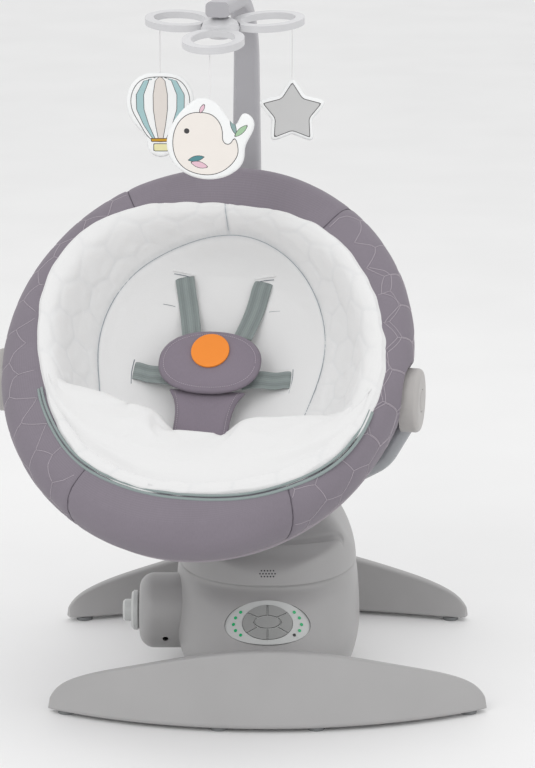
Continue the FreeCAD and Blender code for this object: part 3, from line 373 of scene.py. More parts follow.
def mesh_from(name, points, faces, material, uvs=None, place=None):
    """A mesh object from points in millimetres."""
    points = np.asarray(points, float).reshape(-1, 3) * MM
    if place is not None:
        matrix = np.array(place)
        points = points @ matrix[:3, :3].T + matrix[:3, 3]
    mesh = bpy.data.meshes.new(name)
    mesh.from_pydata([tuple(p) for p in points], [], [tuple(int(i) for i in f) for f in faces])
    if uvs is not None:
        layer = mesh.uv_layers.new(name="UVMap")
        flat = np.asarray(uvs, float).reshape(-1, 2)
        loops = np.empty(len(mesh.loops), int)
        mesh.loops.foreach_get("vertex_index", loops)
        layer.data.foreach_set("uv", flat[loops].ravel())
    mesh.update()
    return link(name, mesh, material)


def ring_grid(rows, columns, wrap_rows=False, wrap_columns=True, offset=0):
    """Quads of a grid of points in row order."""
    faces = []
    for r in range(rows if wrap_rows else rows - 1):
        for c in range(columns if wrap_columns else columns - 1):
            a, b = r * columns + c, r * columns + (c + 1) % columns
            down = (r + 1) % rows
            d, e = down * columns + c, down * columns + (c + 1) % columns
            faces.append((a + offset, b + offset, e + offset, d + offset))
    return faces


def end_caps(ring, count, offset=0):
    """The two end faces of a closed bar of rings."""
    first = tuple(offset + k for k in range(ring - 1, -1, -1))
    last = tuple(offset + (count - 1) * ring + k for k in range(ring))
    return [first, last]


def float_attribute(obj, name, values):
    layer = obj.data.attributes.new(name, "FLOAT", "POINT")
    layer.data.foreach_set("value", np.asarray(values, float).ravel())


def tube_along(name, points, radius, material, place=None, sides=10, closed=False, squash=1.0):
    """A round bead along points, in millimetres."""
    points = np.asarray(points, float)
    count = len(points)
    if closed:
        ahead = np.roll(points, -1, axis=0) - np.roll(points, 1, axis=0)
    else:
        ahead = np.gradient(points, axis=0)
    ahead /= np.linalg.norm(ahead, axis=1)[:, None]
    side = np.cross(ahead, (0.1, 0.2, 1.0))
    side /= np.linalg.norm(side, axis=1)[:, None]
    up = np.cross(side, ahead)
    angles = np.linspace(0, math.tau, sides, endpoint=False)
    ring = (np.cos(angles)[None, :, None] * side[:, None, :] * radius
            + np.sin(angles)[None, :, None] * up[:, None, :] * radius * squash)
    grid = points[:, None, :] + ring
    faces = ring_grid(count, sides, wrap_rows=closed)
    length = arc_length(points) * MM
    girth = angles / math.tau * radius * 6 * MM
    uvs = np.stack(np.broadcast_arrays(girth[None, :], length[:, None]), axis=-1)
    if not closed:
        faces += end_caps(sides, count)
    return mesh_from(name, grid, faces, material, uvs, place)


def hex_edge(a, b, cell):
    """Distance from points to the nearest edge of a honeycomb of that pitch."""
    high = cell * math.sqrt(3)
    distances = []
    for shift_a, shift_b in ((0, 0), (cell / 2, high / 2)):
        base_a = np.floor((a - shift_a) / cell)
        base_b = np.floor((b - shift_b) / high)
        for i in (0, 1):
            for j in (0, 1):
                da = a - shift_a - (base_a + i) * cell
                db = b - shift_b - (base_b + j) * high
                distances.append(np.hypot(da, db))
    ordered = np.sort(np.stack(distances), axis=0)
    return (ordered[1] - ordered[0]) / 2


def soft_noise(x, y, z, scale, octave=1):
    """Smooth noise at points, in -1..1."""
    flat = np.stack([np.ravel(x), np.ravel(y), np.ravel(z)], axis=1) / scale
    values = np.array([noise.noise(Vector(p)) for p in flat])
    return values.reshape(np.shape(x))


# ---------------------------------------------------------------- seat cover
UNDERSIDE = [(0, -127), (60, -123.5), (110, -116), (160, -104), (200, -89), (232, -72), (254, -55)]
OUTER_WALL = [(254, -55), (265, -36), (272, -10), (272, 6), (266, 22), (252, 33), (234, 35.5)]
MEETING = [(234, 35.5), (226, 12), (205, -37), (130, -87), (60, -103), (0, -107)]
BOWL = [(0, -93), (40, -91), (110, -76), (150, -57), (172, -40), (194, -6), (206, 22), (216, 36), (226, 40.5)]
EDGE_RADIUS = 225.8
EDGE_WAVES = ((6.4, -4.3), (12.1, -11.8), (2.6, 3.1), (-5.5, -4.5))
TURNS = 540
# The direction of each seam at the crest and at the hem, in degrees.
SEAMS = {"head_left": (123.4, 120.6), "head_right": (51.5, 53.8), "foot_left": (236.4, 241.0),
         "foot_right": (306.4, 299.5)}
WALL_RADIUS = 262

angles = np.linspace(0, math.tau, TURNS, endpoint=False)
wall_rows = 46
under = curve_through(UNDERSIDE, 34)
wall = curve_through(OUTER_WALL, wall_rows)
inner = curve_through(MEETING, 26)
profile = chain(under, wall, inner)
wall_first = len(under) - 1
wall_last = wall_first + wall_rows - 1
reach = arc_length(profile)
wall_height = reach - reach[wall_first]
wall_share = np.clip(wall_height / wall_height[wall_last], 0, 1)
tangent = directions(profile)
outward = np.stack([tangent[:, 1], -tangent[:, 0]], axis=1)
theta = angles[None, :]
height = profile[:, 1:]
CREST = OUTER_WALL[-1][0]
row_shift = np.zeros(len(profile))
row_shift[wall_first:wall_last + 1] = np.clip((252 - wall[:, 0]) / (252 - CREST), 0, 1)
row_shift[wall_last:] = inner[:, 0] / CREST


def liner_edge(angle):
    """Radius of the liner's outer edge, which sits a little skew on the rim."""
    radius = EDGE_RADIUS
    for order, (cosine, sine) in enumerate(EDGE_WAVES, 1):
        radius = radius + cosine * np.cos(order * angle) + sine * np.sin(order * angle)
    return radius


def seam_angle(name, share):
    crest, hem = SEAMS[name]
    return np.radians(hem + (crest - hem) * share)


def turn_gap(a, b):
    return (a - b + math.pi) % math.tau - math.pi


def on_sides(theta, share):
    """1 on the two quilted side sections, 0 on the head and foot sections."""
    past = {key: turn_gap(theta, seam_angle(key, share)) for key in SEAMS}
    right = (past["foot_right"] > 0) & (past["head_right"] < 0)
    left = (past["head_left"] > 0) & (past["foot_left"] < 0)
    return right | left


CELL = 47.0


def quilt_frame(along, across):
    """Row coordinates of the quilting, waved so that the honeycomb looks hand drawn."""
    return (along + 5.5 * np.sin(across / 17.0 + 0.6) + 4 * np.sin(across / 41.0),
            across + 5.0 * np.sin(along / 27.0) + 2.5 * np.sin(along / 11.0 + 1.0))


rho = profile[:, :1] + row_shift[:, None] * (liner_edge(theta) - 7 - CREST)
share = wall_share[:, None]
wall_top = wall_height[wall_last]
on_wall = np.clip(np.minimum(wall_height[:, None] / 10, (wall_top + 12 - wall_height[:, None]) / 12), 0, 1)
along, across = WALL_RADIUS * theta + 0 * rho, wall_height[:, None] + 0 * theta
side_mask = on_sides(theta + 0 * rho, share + 0 * theta) * on_wall
quilt = hex_edge(*quilt_frame(along, across), CELL)
seam_gaps = [np.abs(turn_gap(theta, seam_angle(key, share))) * WALL_RADIUS for key in SEAMS]
seam_gap = np.min(np.stack(seam_gaps), axis=0)
lift = 1.4 * on_wall - 1.8 * np.exp(-(seam_gap / 2.2) ** 2) * on_wall
lift += side_mask * (0.35 - 0.8 * np.exp(-(quilt / 3.0) ** 2)) * np.clip(seam_gap / 12, 0, 1)
sample_x = WALL_RADIUS * np.cos(theta) + 0 * rho
sample_y = WALL_RADIUS * np.sin(theta) + 0 * rho
lift += 0.5 * on_wall * soft_noise(sample_x, sample_y, across, 55.0)
puckers = soft_noise(sample_x, sample_y, across * 0.35, 14.0)
lift += 0.35 * on_wall * puckers * np.clip(1.2 - seam_gap / 60, 0, 1)
cover_rho = rho + outward[:, :1] * lift
cover_n = height + outward[:, 1:] * lift
x = cover_rho * np.cos(theta)
u = STRETCH * cover_rho * np.sin(theta)
n = cover_n + 0 * theta
HUB_U, HUB_N = -33.0, -34.17
hub_gap = np.hypot(u - HUB_U, n - HUB_N)
press = np.clip((52 - hub_gap) / 8, 0, 1)
press = press * press * (3 - 2 * press)
limit = 261.0 - 0.5
over = np.maximum(np.abs(x) - limit, 0)
x = np.sign(x) * (np.abs(x) - over * press)
grid = np.stack([x, u, n], axis=-1)
rows = len(profile)
cover_uv = np.stack([along * MM, reach[:, None] * MM + 0 * theta], axis=-1)
cover_faces = ring_grid(rows - 2, TURNS, offset=0)
ring_points = grid[1:-1].reshape(-1, 3)
ring_uv = cover_uv[1:-1].reshape(-1, 2)
points = np.concatenate([ring_points, [[0, 0, profile[0, 1]], [0, 0, profile[-1, 1]]]])
uvs = np.concatenate([ring_uv, [[0, 0], [0, 0]]])
first_pole, last_pole = len(ring_points), len(ring_points) + 1
last_row = (rows - 3) * TURNS
cover_faces += [(first_pole, (c + 1) % TURNS, c) for c in range(TURNS)]
cover_faces += [(last_pole, last_row + c, last_row + (c + 1) % TURNS) for c in range(TURNS)]
cover = mesh_from("seat_cover_soft", points, cover_faces, mauve, uvs, SEAT)


def wall_point(turn_length, height_on_wall, above):
    """The point of the cover's outer wall at a quilting coordinate, in millimetres."""
    column = (turn_length / WALL_RADIUS / math.tau * TURNS) % TURNS
    row = np.interp(height_on_wall, wall_height, np.arange(len(profile)))
    c, r = int(column), int(row)
    fc, fr = column - c, row - r
    d = (c + 1) % TURNS
    r = min(r, len(profile) - 2)
    point = ((wall_grid[r, c] * (1 - fc) + wall_grid[r, d] * fc) * (1 - fr)
             + (wall_grid[r + 1, c] * (1 - fc) + wall_grid[r + 1, d] * fc) * fr)
    angle = turn_length / WALL_RADIUS
    push, rise = (np.interp(row, np.arange(len(profile)), outward[:, k]) for k in (0, 1))
    return point + np.array((push * math.cos(angle), push * math.sin(angle), rise)) * above


def unwaved(a, b):
    """The quilting coordinate whose waved place is (a, b)."""
    along_here, across_here = a, b
    for _ in range(12):
        waved = quilt_frame(along_here, across_here)
        along_here += 0.7 * (a - waved[0])
        across_here += 0.7 * (b - waved[1])
    return along_here, across_here


def quilting_thread(name, radius, material):
    """Thread along the edges of the honeycomb on the two side sections."""
    high = CELL * math.sqrt(3)
    corner = CELL / math.sqrt(3)
    edges = set()
    for i in range(-2, int(WALL_RADIUS * math.tau / CELL) + 3):
        for j in range(-2, int(wall_top / high) + 3):
            for shift_a, shift_b in ((0, 0), (CELL / 2, high / 2)):
                centre = i * CELL + shift_a, j * high + shift_b
                ring = [(centre[0] + corner * math.sin(k * math.pi / 3),
                         centre[1] + corner * math.cos(k * math.pi / 3)) for k in range(6)]
                for k in range(6):
                    a, b = (tuple(round(v, 2) for v in p) for p in (ring[k], ring[(k + 1) % 6]))
                    edges.add((min(a, b), max(a, b)))
    points, faces = [], []
    sides, parts = 5, 14
    for a, b in sorted(edges):
        route = []
        for share in np.linspace(0, 1, parts):
            turn_length, level = unwaved(a[0] + (b[0] - a[0]) * share, a[1] + (b[1] - a[1]) * share)
            angle = turn_length / WALL_RADIUS
            level_share = np.clip(level / wall_top, 0, 1)
            clear = min(abs(turn_gap(angle, seam_angle(key, level_share))) for key in SEAMS) * WALL_RADIUS
            if 3 < level < wall_top - 6 and clear > 2 and on_sides(np.float64(angle), level_share):
                route.append(wall_point(turn_length, level, radius * 0.4))
        if len(route) < 4:
            continue
        route = np.array(route)
        ahead = directions(route)
        side = np.cross(ahead, (0.3, 0.2, 1.0))
        side /= np.linalg.norm(side, axis=1)[:, None]
        up = np.cross(side, ahead)
        offset = len(points)
        for p, s, v in zip(route, side, up):
            for k in range(sides):
                turn = math.tau * k / sides
                points.append(p + s * math.cos(turn) * radius + v * math.sin(turn) * radius)
        faces += ring_grid(len(route), sides, offset=offset) + end_caps(sides, len(route), offset)
    return mesh_from(name, points, faces, material, None, SEAT)


wall_grid = grid
cover_seams = []
for key in SEAMS:
    route = []
    for level in np.linspace(1.5, wall_top - 2, 60):
        turn_length = float(seam_angle(key, level / wall_top)) * WALL_RADIUS
        route.append(wall_point(turn_length, level, 0.1))
    cover_seams.append(tube_along("cover_seam_" + key, route, 0.65, thread_dark, SEAT, sides=8))
cover_thread = quilting_thread("cover_quilting_thread", 0.42, thread_pale)


# ---------------------------------------------------------------- piping and hems on the cover
def seat_ring(radius, height, count=400, wobble=0.0):
    points = []
    for i in range(count):
        angle = math.tau * i / count
        r = radius + wobble * noise.noise(Vector((math.cos(angle) * 5, math.sin(angle) * 5, 0)))
        points.append((r * math.cos(angle), STRETCH * r * math.sin(angle), height))
    return points


piping = tube_along("cover_piping", seat_ring(255.5, -57.5), 3.1, piping_cloth, SEAT, closed=True)
lower_hem = tube_along("underside_hem", seat_ring(214, -84.5), 2.4, piping_cloth, SEAT, closed=True)

# ---------------------------------------------------------------- liner
BACK_SEAM = [(-140, -90), (-152, -25), (-161, 22), (-156, 87), (-124, 144), (-69, 179), (-6, 191), (55, 183),
             (96, 160), (134, 104), (145, 50), (141, 7), (132, -34), (120, -90)]
back_seam = curve_through(BACK_SEAM, 220)
LINER_TURNS = 480
LIP = [(226, 40.5), (232, 39.5), (236.5, 37.5), (237.5, 35.0), (234, 32), (227, 16), (205, -35), (130, -85),
       (60, -101), (0, -105.5)]
bowl = curve_through(BOWL, 96)
lip = chain(curve_through(LIP[:5], 12), curve_through(LIP[4:], 16))
liner_profile = chain(bowl, lip)
liner_rows = len(liner_profile)
liner_angles = np.linspace(0, math.tau, LINER_TURNS, endpoint=False)[None, :]
LINER_FIXED, LINER_LIP = 150.0, 236.5


def liner_radius(radius, angle):
    """A radius of the liner's section, fitted to the edge's place at that angle."""
    share = np.clip((radius - LINER_FIXED) / (LINER_LIP - LINER_FIXED), 0, 1.05)
    return radius + share * (liner_edge(angle) - LINER_LIP)


liner_rho = liner_radius(liner_profile[:, :1], liner_angles)
liner_n = liner_profile[:, 1:] + 0 * liner_angles
liner_tangent = directions(liner_profile)
inward = np.stack([-liner_tangent[:, 1], liner_tangent[:, 0]], axis=1)
liner_reach = arc_length(liner_profile)[:, None]
top_rows = np.arange(liner_rows)[:, None] < len(bowl) + 4
x = liner_rho * np.cos(liner_angles)
u = STRETCH * liner_rho * np.sin(liner_angles)
flat = np.stack([x.ravel(), u.ravel()], axis=1)
nearest = np.full(len(flat), 1e9)
for point in back_seam:
    nearest = np.minimum(nearest, np.hypot(flat[:, 0] - point[0], flat[:, 1] - point[1]))
seam_near = nearest.reshape(x.shape)
SEAM_MIDDLE = 30
back_angle = np.arctan2(back_seam[:, 1] / STRETCH - SEAM_MIDDLE, back_seam[:, 0])
back_radius = np.hypot(back_seam[:, 1] / STRETCH - SEAM_MIDDLE, back_seam[:, 0])
order = np.argsort(back_angle)
here_angle = np.arctan2(u / STRETCH - SEAM_MIDDLE, x)
here_radius = np.hypot(u / STRETCH - SEAM_MIDDLE, x)
outside_seam = here_radius > np.interp(here_angle, back_angle[order], back_radius[order], period=math.tau)
liner_along = 205 * liner_angles + 0 * liner_rho
liner_across = liner_reach + 0 * liner_angles
liner_quilt = hex_edge(*quilt_frame(liner_along, liner_across * 1.05 + 12), 52.0)
quilt_depth = outside_seam * np.clip(seam_near / 14, 0, 1)
lift = quilt_depth * (0.4 - 0.9 * np.exp(-(liner_quilt / 3.0) ** 2))
lift += outside_seam * 1.8 * np.clip(seam_near / 12, 0, 1)
seam_groove = np.exp(-(seam_near / 2.4) ** 2)
lift -= 1.8 * seam_groove
middle_seam = np.exp(-((x - 1.5 - (u - 200) * -0.05) / 2.2) ** 2) * (u > 190)
lift -= 1.6 * middle_seam * outside_seam
fine_creases = (0.25 + 0.6 * outside_seam) * soft_noise(x, u, liner_n, 15.0)
lift += 1.1 * soft_noise(x, u, liner_n, 46.0) + fine_creases
fade = np.clip(liner_reach / 40, 0, 1) * top_rows
lift = lift * fade
edge_wave = 0.8 * np.sin(liner_along / 9.5 + 2 * np.sin(liner_along / 31))
edge_wave = edge_wave + 1.3 * soft_noise(x, u, 0 * x, 22.0)
edge_share = np.clip((liner_profile[:, :1] - 214) / 20, 0, 1)
x = x + np.cos(liner_angles) * (inward[:, :1] * lift + edge_wave * edge_share)
u = u + STRETCH * np.sin(liner_angles) * (inward[:, :1] * lift + edge_wave * edge_share)
n = liner_n + inward[:, 1:] * lift
grid = np.stack([x, u, n], axis=-1)
# Painted shade for the seam and quilting grooves, carried to the jersey's grey-blue tint.
groove = np.clip(seam_groove * 0.5 + middle_seam * outside_seam * 0.8
                 + quilt_depth * 0.3 * np.exp(-(liner_quilt / 2.2) ** 2), 0, 1)
liner_uv = np.stack([liner_along * MM, liner_across * MM], axis=-1)
points = np.concatenate([grid[1:-1].reshape(-1, 3), [[0, 0, -93], [0, 0, -105.5]]])
uvs = np.concatenate([liner_uv[1:-1].reshape(-1, 2), [[0, 0], [0, 0]]])
faces = ring_grid(liner_rows - 2, LINER_TURNS)
pole_a, pole_b = (liner_rows - 2) * LINER_TURNS, (liner_rows - 2) * LINER_TURNS + 1
last_row = (liner_rows - 3) * LINER_TURNS
faces += [(pole_a, (c + 1) % LINER_TURNS, c) for c in range(LINER_TURNS)]
faces += [(pole_b, last_row + c, last_row + (c + 1) % LINER_TURNS) for c in range(LINER_TURNS)]
faces = [tuple(reversed(face)) for face in faces]
liner = mesh_from("seat_liner_soft", points, faces, white, uvs, SEAT)
float_attribute(liner, "groove", np.concatenate([groove[1:-1].ravel(), [0, 0]]))


def bowl_height(x, u):
    """Height of the liner's plain surface over the seat plane."""
    radius = np.hypot(x, u / STRETCH)
    edge = liner_edge(np.arctan2(u / STRETCH, x))
    share = np.maximum(radius - LINER_FIXED, 0) / (edge - LINER_FIXED)
    section = np.where(radius > LINER_FIXED, LINER_FIXED + share * (LINER_LIP - LINER_FIXED), radius)
    return np.interp(section, bowl[:, 0], bowl[:, 1])


def on_bowl(x, u, above):
    return (x, u, float(bowl_height(x, u)) + above)


def surface_line(name, points, radius, material, above=0.2, count=160, squash=0.6):
    """A thin line that lies on the liner: a sewn thread, a binding, or a slit's painted shade."""
    route = [on_bowl(p[0], p[1], above) for p in curve_through(points, count)]
    return tube_along(name, route, radius, material, SEAT, sides=6, squash=squash)


back_seam_thread = surface_line("back_seam_thread", BACK_SEAM, 0.55, thread_soft, above=-1.1, count=300)
HEAD_SEAM = [(-1, 214), (0, 208), (1.5, 200), (2.0, 193)]
middle_thread = surface_line("head_seam_thread", HEAD_SEAM, 0.4, thread_soft, above=0.5, count=30)


# ---------------------------------------------------------------- front roll
HEM = [(-208, -52), (-204, -76), (-176, -138), (-132, -188), (-74, -217), (-28, -228), (19, -231),
       (64, -229), (108, -220), (148, -203), (180, -183), (212, -146), (230, -98), (236, -60)]
EDGE = [(-204, -58), (-185, -64), (-165, -63), (-125, -62), (-91, -74), (-58, -84), (-40, -108),
        (4, -116), (44, -112), (60, -92), (90, -86), (138, -82), (180, -86), (212, -84), (228, -66)]
roll_columns = 150
hem_curve = curve_through(HEM, roll_columns)
edge_curve = curve_through(EDGE, roll_columns)
SECTION_TOP = [(0.0, 35.0), (0.10, 42.0), (0.30, 44.0), (0.58, 34.0), (0.84, 14.0), (0.98, -6.0), (1.04, -24.0)]
section_top = curve_through([(s * 100, h) for s, h in SECTION_TOP], 34)
roll_points = []
for i in range(roll_columns):
    hem, edge = hem_curve[i], edge_curve[i]
    end_share = min(i, roll_columns - 1 - i) / (roll_columns - 1)
    fat = min(1.0, end_share / 0.14)
    fat = math.sqrt(max(fat, 0.02) * (2 - max(fat, 0.02)))
    loop = []
    for share, high in section_top:
        place = hem + (edge - hem) * (share / 100)
        floor = float(bowl_height(place[0], place[1]))
        loop.append((place[0], place[1], max(floor - 2 + (high - floor + 2) * fat, floor - 2)))
    foot = hem + (edge - hem) * 1.10
    floor_end = float(bowl_height(foot[0], foot[1]))
    steps = 14
    last = loop[-1]
    for k in range(1, 7):
        part = k / 7
        loop.append((last[0] + (foot[0] - last[0]) * part, last[1] + (foot[1] - last[1]) * part,
                     last[2] + (floor_end - 5 - last[2]) * part))
    for k in range(steps):
        part = 1.10 - 1.08 * (k + 0.5) / steps
        place = hem + (edge - hem) * part
        loop.append((place[0], place[1], float(bowl_height(place[0], place[1])) - 6))
    roll_points.append(loop)
roll_points = np.array(roll_points)
roll_ring = roll_points.shape[1]
faces = ring_grid(roll_columns, roll_ring) + end_caps(roll_ring, roll_columns)
roll_length, roll_girth = np.linspace(0, 0.55, roll_columns), np.linspace(0, 0.36, roll_ring)
roll_uv = np.stack(np.broadcast_arrays(roll_length[:, None], roll_girth[None, :]), axis=-1)
front_roll = mesh_from("front_roll_soft", roll_points, faces, white, roll_uv, SEAT)
# The front roll gets no painted groove shade.
float_attribute(front_roll, "groove", np.zeros(len(front_roll.data.vertices)))

hem_middle = hem_curve[8:-8]
for name, outset, level, radius in (("hem_tape_outer", 1.022, 36.0, 2.2), ("hem_tape_inner", 1.002, 38.5, 1.7)):
    route = [(p[0] * outset, p[1] * outset, level) for p in hem_middle]
    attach(tube_along(name, route, radius, hem_tape, SEAT), "seat")


# ---------------------------------------------------------------- harness straps
def strap(name, points, across, width, thickness, count=70):
    """A webbing strap along a smooth line, with soft edges and its UVs along it."""
    line = curve_through(points, count)
    ahead = directions(line)
    across = np.asarray(across, float)
    side = across[None, :] - (ahead @ across)[:, None] * ahead
    side /= np.linalg.norm(side, axis=1)[:, None]
    up = np.cross(side, ahead)
    outline = []
    steps = 14
    for k in range(steps + 1):
        s = -1 + 2 * k / steps
        outline.append((s, 0.5 * (1 - abs(s) ** 6 * 0.6)))
    section = outline + [(s, -t) for s, t in reversed(outline)]
    grid = [line + side * (s * width / 2) + up * (t * thickness) for s, t in section]
    grid = np.stack(grid, axis=1)
    length = arc_length(line) * MM
    share = np.array([(s + 1) / 2 for s, _ in section])
    uvs = np.stack(np.broadcast_arrays(share[None, :], length[:, None]), axis=-1)
    ring = len(section)
    faces = ring_grid(count, ring) + end_caps(ring, count)
    return mesh_from(name, grid, faces, webbing, uvs, SEAT)


HARNESS_X = -7.0
WEB, TAPE = 26.0, 2.4
soft_pieces = cover_seams + [cover, cover_thread, liner, front_roll, piping, lower_hem]
soft_pieces += [back_seam_thread, middle_thread]
straps = []
for tag, sign in (("left", -1), ("right", 1)):
    shoulder = [on_bowl(HARNESS_X + sign * out, up, above)
                for out, up, above in ((56, 157, -5), (54.5, 151, 1.5), (49, 128, 4.5), (42, 100, 8))]
    shoulder.append((HARNESS_X + sign * 35, 70, -68))
    straps.append(strap("shoulder_strap_" + tag, shoulder, (1, 0, 0), WEB, TAPE))
    waist = [on_bowl(HARNESS_X + sign * out, up, above)
             for out, up, above in ((110, 15, -5), (105, 14, 2), (90, 11, 7))]
    waist += [(HARNESS_X + sign * 70, 7, -69), (HARNESS_X + sign * 44, 4, -72)]
    straps.append(strap("waist_strap_" + tag, waist, (0, 1, 0), WEB, TAPE))

# ---------------------------------------------------------------- slits in the liner, drawn as grey lines of painted shade, with white bindings
slits = []
for tag, sign in (("left", -1), ("right", 1)):
    for name, out, half, low, high, radius, material, above in (
            ("shoulder_slit_", 56, 13, 155, 155.6, 0.7, thread_grey, 0.0),
            ("shoulder_binding_", 56, 15, 158, 158.8, 1.2, white, 0.4),
            ("spare_slit_", 73, 8, 116, 116.3, 0.4, thread_grey, 0.2)):
        middle = HARNESS_X + sign * out
        route = [(middle - half, low), (middle, high), (middle + half, low)]
        slits.append(surface_line(name + tag, route, radius, material, above=above, count=16))
    side = HARNESS_X + sign * 109
    route = [(side, 31), (side + sign, 14), (side - sign * 1.0, -6)]
    slits.append(surface_line("waist_slit_" + tag, route, 0.7, thread_grey, above=0.0, count=24))


# ---------------------------------------------------------------- pads
def pad_mesh(name, outline, low, high, material, crown):
    """A closed padded plate over an outline in the seat plane, crowned on top."""
    outline = np.asarray(outline, float)
    centre = outline.mean(axis=0)
    rings = 22
    middle, half = (low + high) / 2, (high - low) / 2
    layers = []
    for k, up in [(k, 1) for k in range(rings + 1)] + [(k, -1) for k in range(rings - 1, -1, -1)]:
        share = k / rings
        plan = centre + (outline - centre) * share
        level = middle + up * half * math.sqrt(max(0.0, 1 - share ** 8))
        if up > 0:
            level += crown * (1 - share ** 2)
        layers.append(np.column_stack([plan, np.full(len(plan), level)]))
    grid = np.array(layers)
    count = len(outline)
    top, bottom = grid[0].mean(axis=0), grid[-1].mean(axis=0)
    points = np.concatenate([grid[1:-1].reshape(-1, 3), [top, bottom]])
    rows = len(layers) - 2
    faces = ring_grid(rows, count)
    last = (rows - 1) * count
    faces += [(rows * count, (c + 1) % count, c) for c in range(count)]
    faces += [(rows * count + 1, last + c, last + (c + 1) % count) for c in range(count)]
    uvs = points[:, :2] * MM
    return mesh_from(name, points, [tuple(reversed(f)) for f in faces], material, uvs, SEAT)


def oval_outline(half_x, half_u, centre, power=2.25, count=160):
    points = []
    for i in range(count):
        angle = math.tau * i / count
        c, s = math.cos(angle), math.sin(angle)
        points.append((centre[0] + math.copysign(abs(c) ** (2 / power), c) * half_x,
                       centre[1] + math.copysign(abs(s) ** (2 / power), s) * half_u))
    return points


belly_outline = oval_outline(70, 49, (HARNESS_X, 20))
belly = pad_mesh("belly_pad_soft", belly_outline, -57, -48, mauve_pad, 3.0)
CROTCH_SIDE = [(-110, 0), (-80, 0), (-64, 0.3), (-52, 1.2), (-42, 3), (-32, 6), (-24, 9), (-17, 12)]
crotch_outline = ([(HARNESS_X + s * 40, -118) for s in np.linspace(-1, 1, 24)]
                  + [(HARNESS_X + 40 + f, g) for g, f in CROTCH_SIDE]
                  + [(HARNESS_X + s * 51, -15) for s in np.linspace(1, -1, 30)]
                  + [(HARNESS_X - 40 - f, g) for g, f in reversed(CROTCH_SIDE)])
crotch = pad_mesh("crotch_pad_soft", crotch_outline, -70, -61.5, mauve_pad, 1.0)
soft_pieces += [belly, crotch]


def stitches(name, outline, height, material, onto, pitch=3.0, dash=1.9, radius=0.45):
    """A row of thread stitches along an outline, lying on the surface below it."""
    outline = np.asarray(outline, float)
    reach = arc_length(outline)
    count = int(reach[-1] / pitch)
    sides, parts = 6, 4
    points, faces = [], []
    tree = BVHTree.FromObject(onto, bpy.context.evaluated_depsgraph_get())
    for i in range(count):
        at = i * pitch + np.linspace(0, dash, parts)
        line = np.column_stack([np.interp(at, reach, outline[:, 0]), np.interp(at, reach, outline[:, 1])])
        lifted = []
        for x, u in line:
            start = SEAT @ Vector((x * MM, u * MM, (height + 40) * MM))
            hit = tree.ray_cast(start, SEAT.to_3x3() @ Vector((0, 0, -1)))
            lifted.append((SEAT.inverted() @ hit[0]) / MM if hit[0] else Vector((x, u, height)))
        line3 = np.array([tuple(p) for p in lifted])
        line3[1:-1, 2] += radius * 0.5
        ahead = line3[-1] - line3[0]
        ahead /= np.linalg.norm(ahead)
        side = np.cross(ahead, (0, 0, 1))
        offset = len(points)
        for k, p in enumerate(line3):
            thick = radius * (0.55 if k in (0, parts - 1) else 1.0)
            for j in range(sides):
                angle = math.tau * j / sides
                points.append(p + side * math.cos(angle) * thick + np.array((0, 0, math.sin(angle) * thick)))
        faces += ring_grid(parts, sides, offset=offset) + end_caps(sides, parts, offset)
    return mesh_from(name, points, faces, material, None, SEAT)


# ---------------------------------------------------------------- cloth
def inflate(obj, pressure, cap):
    """Blows a soft piece up a little with cloth, so that it takes creases of its own, then fixes the result."""
    before = np.array([tuple(v.co) for v in obj.data.vertices])
    cloth = obj.modifiers.new("cloth", "CLOTH")
    settings = cloth.settings
    settings.quality = 5
    settings.mass = 0.25
    settings.tension_stiffness = 12
    settings.compression_stiffness = 12
    settings.shear_stiffness = 6
    settings.bending_stiffness = 0.6
    settings.use_pressure = True
    settings.uniform_pressure_force = pressure
    settings.effector_weights.gravity = 0
    cloth.point_cache.frame_start = 1
    cloth.point_cache.frame_end = 20
    for number in range(1, 21):
        scene.frame_set(number)
    graph = bpy.context.evaluated_depsgraph_get()
    result = obj.evaluated_get(graph).to_mesh()
    after = np.array([tuple(v.co) for v in result.vertices])
    obj.evaluated_get(graph).to_mesh_clear()
    obj.modifiers.remove(cloth)
    scene.frame_set(1)
    move = after - before
    size = np.linalg.norm(move, axis=1)[:, None]
    move *= np.minimum(1.0, cap / np.maximum(size, 1e-9))
    fixed = before + move
    obj.data.vertices.foreach_set("co", fixed.ravel())
    obj.data.update()


inflate(belly, 3.0, 0.004)
inflate(crotch, 2.0, 0.0025)
inflate(front_roll, 3.0, 0.007)

belly_stitching = oval_outline(62.5, 41.5, (HARNESS_X, 20), count=400)
belly_hem = stitches("belly_stitches", belly_stitching, -44, thread_pale, belly)
crotch_lines = []
for tag, sign in (("left", -1), ("right", 1)):
    route = curve_through([(HARNESS_X + sign * (33 + f), g) for g, f in CROTCH_SIDE], 60)
    crotch_lines.append(stitches("crotch_stitches_" + tag, route, -60, thread_pale, crotch))

for piece in soft_pieces + straps + slits + [belly_hem] + crotch_lines:
    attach(piece, "seat")
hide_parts("seat_cover")
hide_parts("seat_liner")
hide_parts("harness_straps")
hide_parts("belly_pad")
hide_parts("crotch_pad")

# ---------------------------------------------------------------- top cover
COVER_LEVELS = [(152, 121.5, -116, 160), (170, 120, -111, 159), (188, 118, -107, 157), (242, 110, -98, 148)]
COVER_SIDE = [(-122, 150), (-112, 168), (-101, 180), (-62, 195), (-24, 222), (10, 238), (36, 240), (76, 234),
              (112, 218), (142, 190), (166, 150)]
COVER_FRONT = [(-123, 150), (-119, 170), (-105, 198), (-80, 224), (-45, 237), (0, 241), (45, 237), (80, 224),
               (105, 198), (119, 170), (123, 150)]
BODY_POWER, COVER_FOOT, COVER_WALL = 2.3, 152.0, 2.5
COVER_COLUMNS, COVER_ROWS, LINING_ROWS = 480, 110, 24
SLOT_RADIUS, SLOT_HALF, SLOT_TURN, SLOT_DEPTH = 420.0, 7.0, 13.3, 3.4
side_line, front_line = curve_through(COVER_SIDE, 400), curve_through(COVER_FRONT, 400)
levels = np.array(COVER_LEVELS, float)


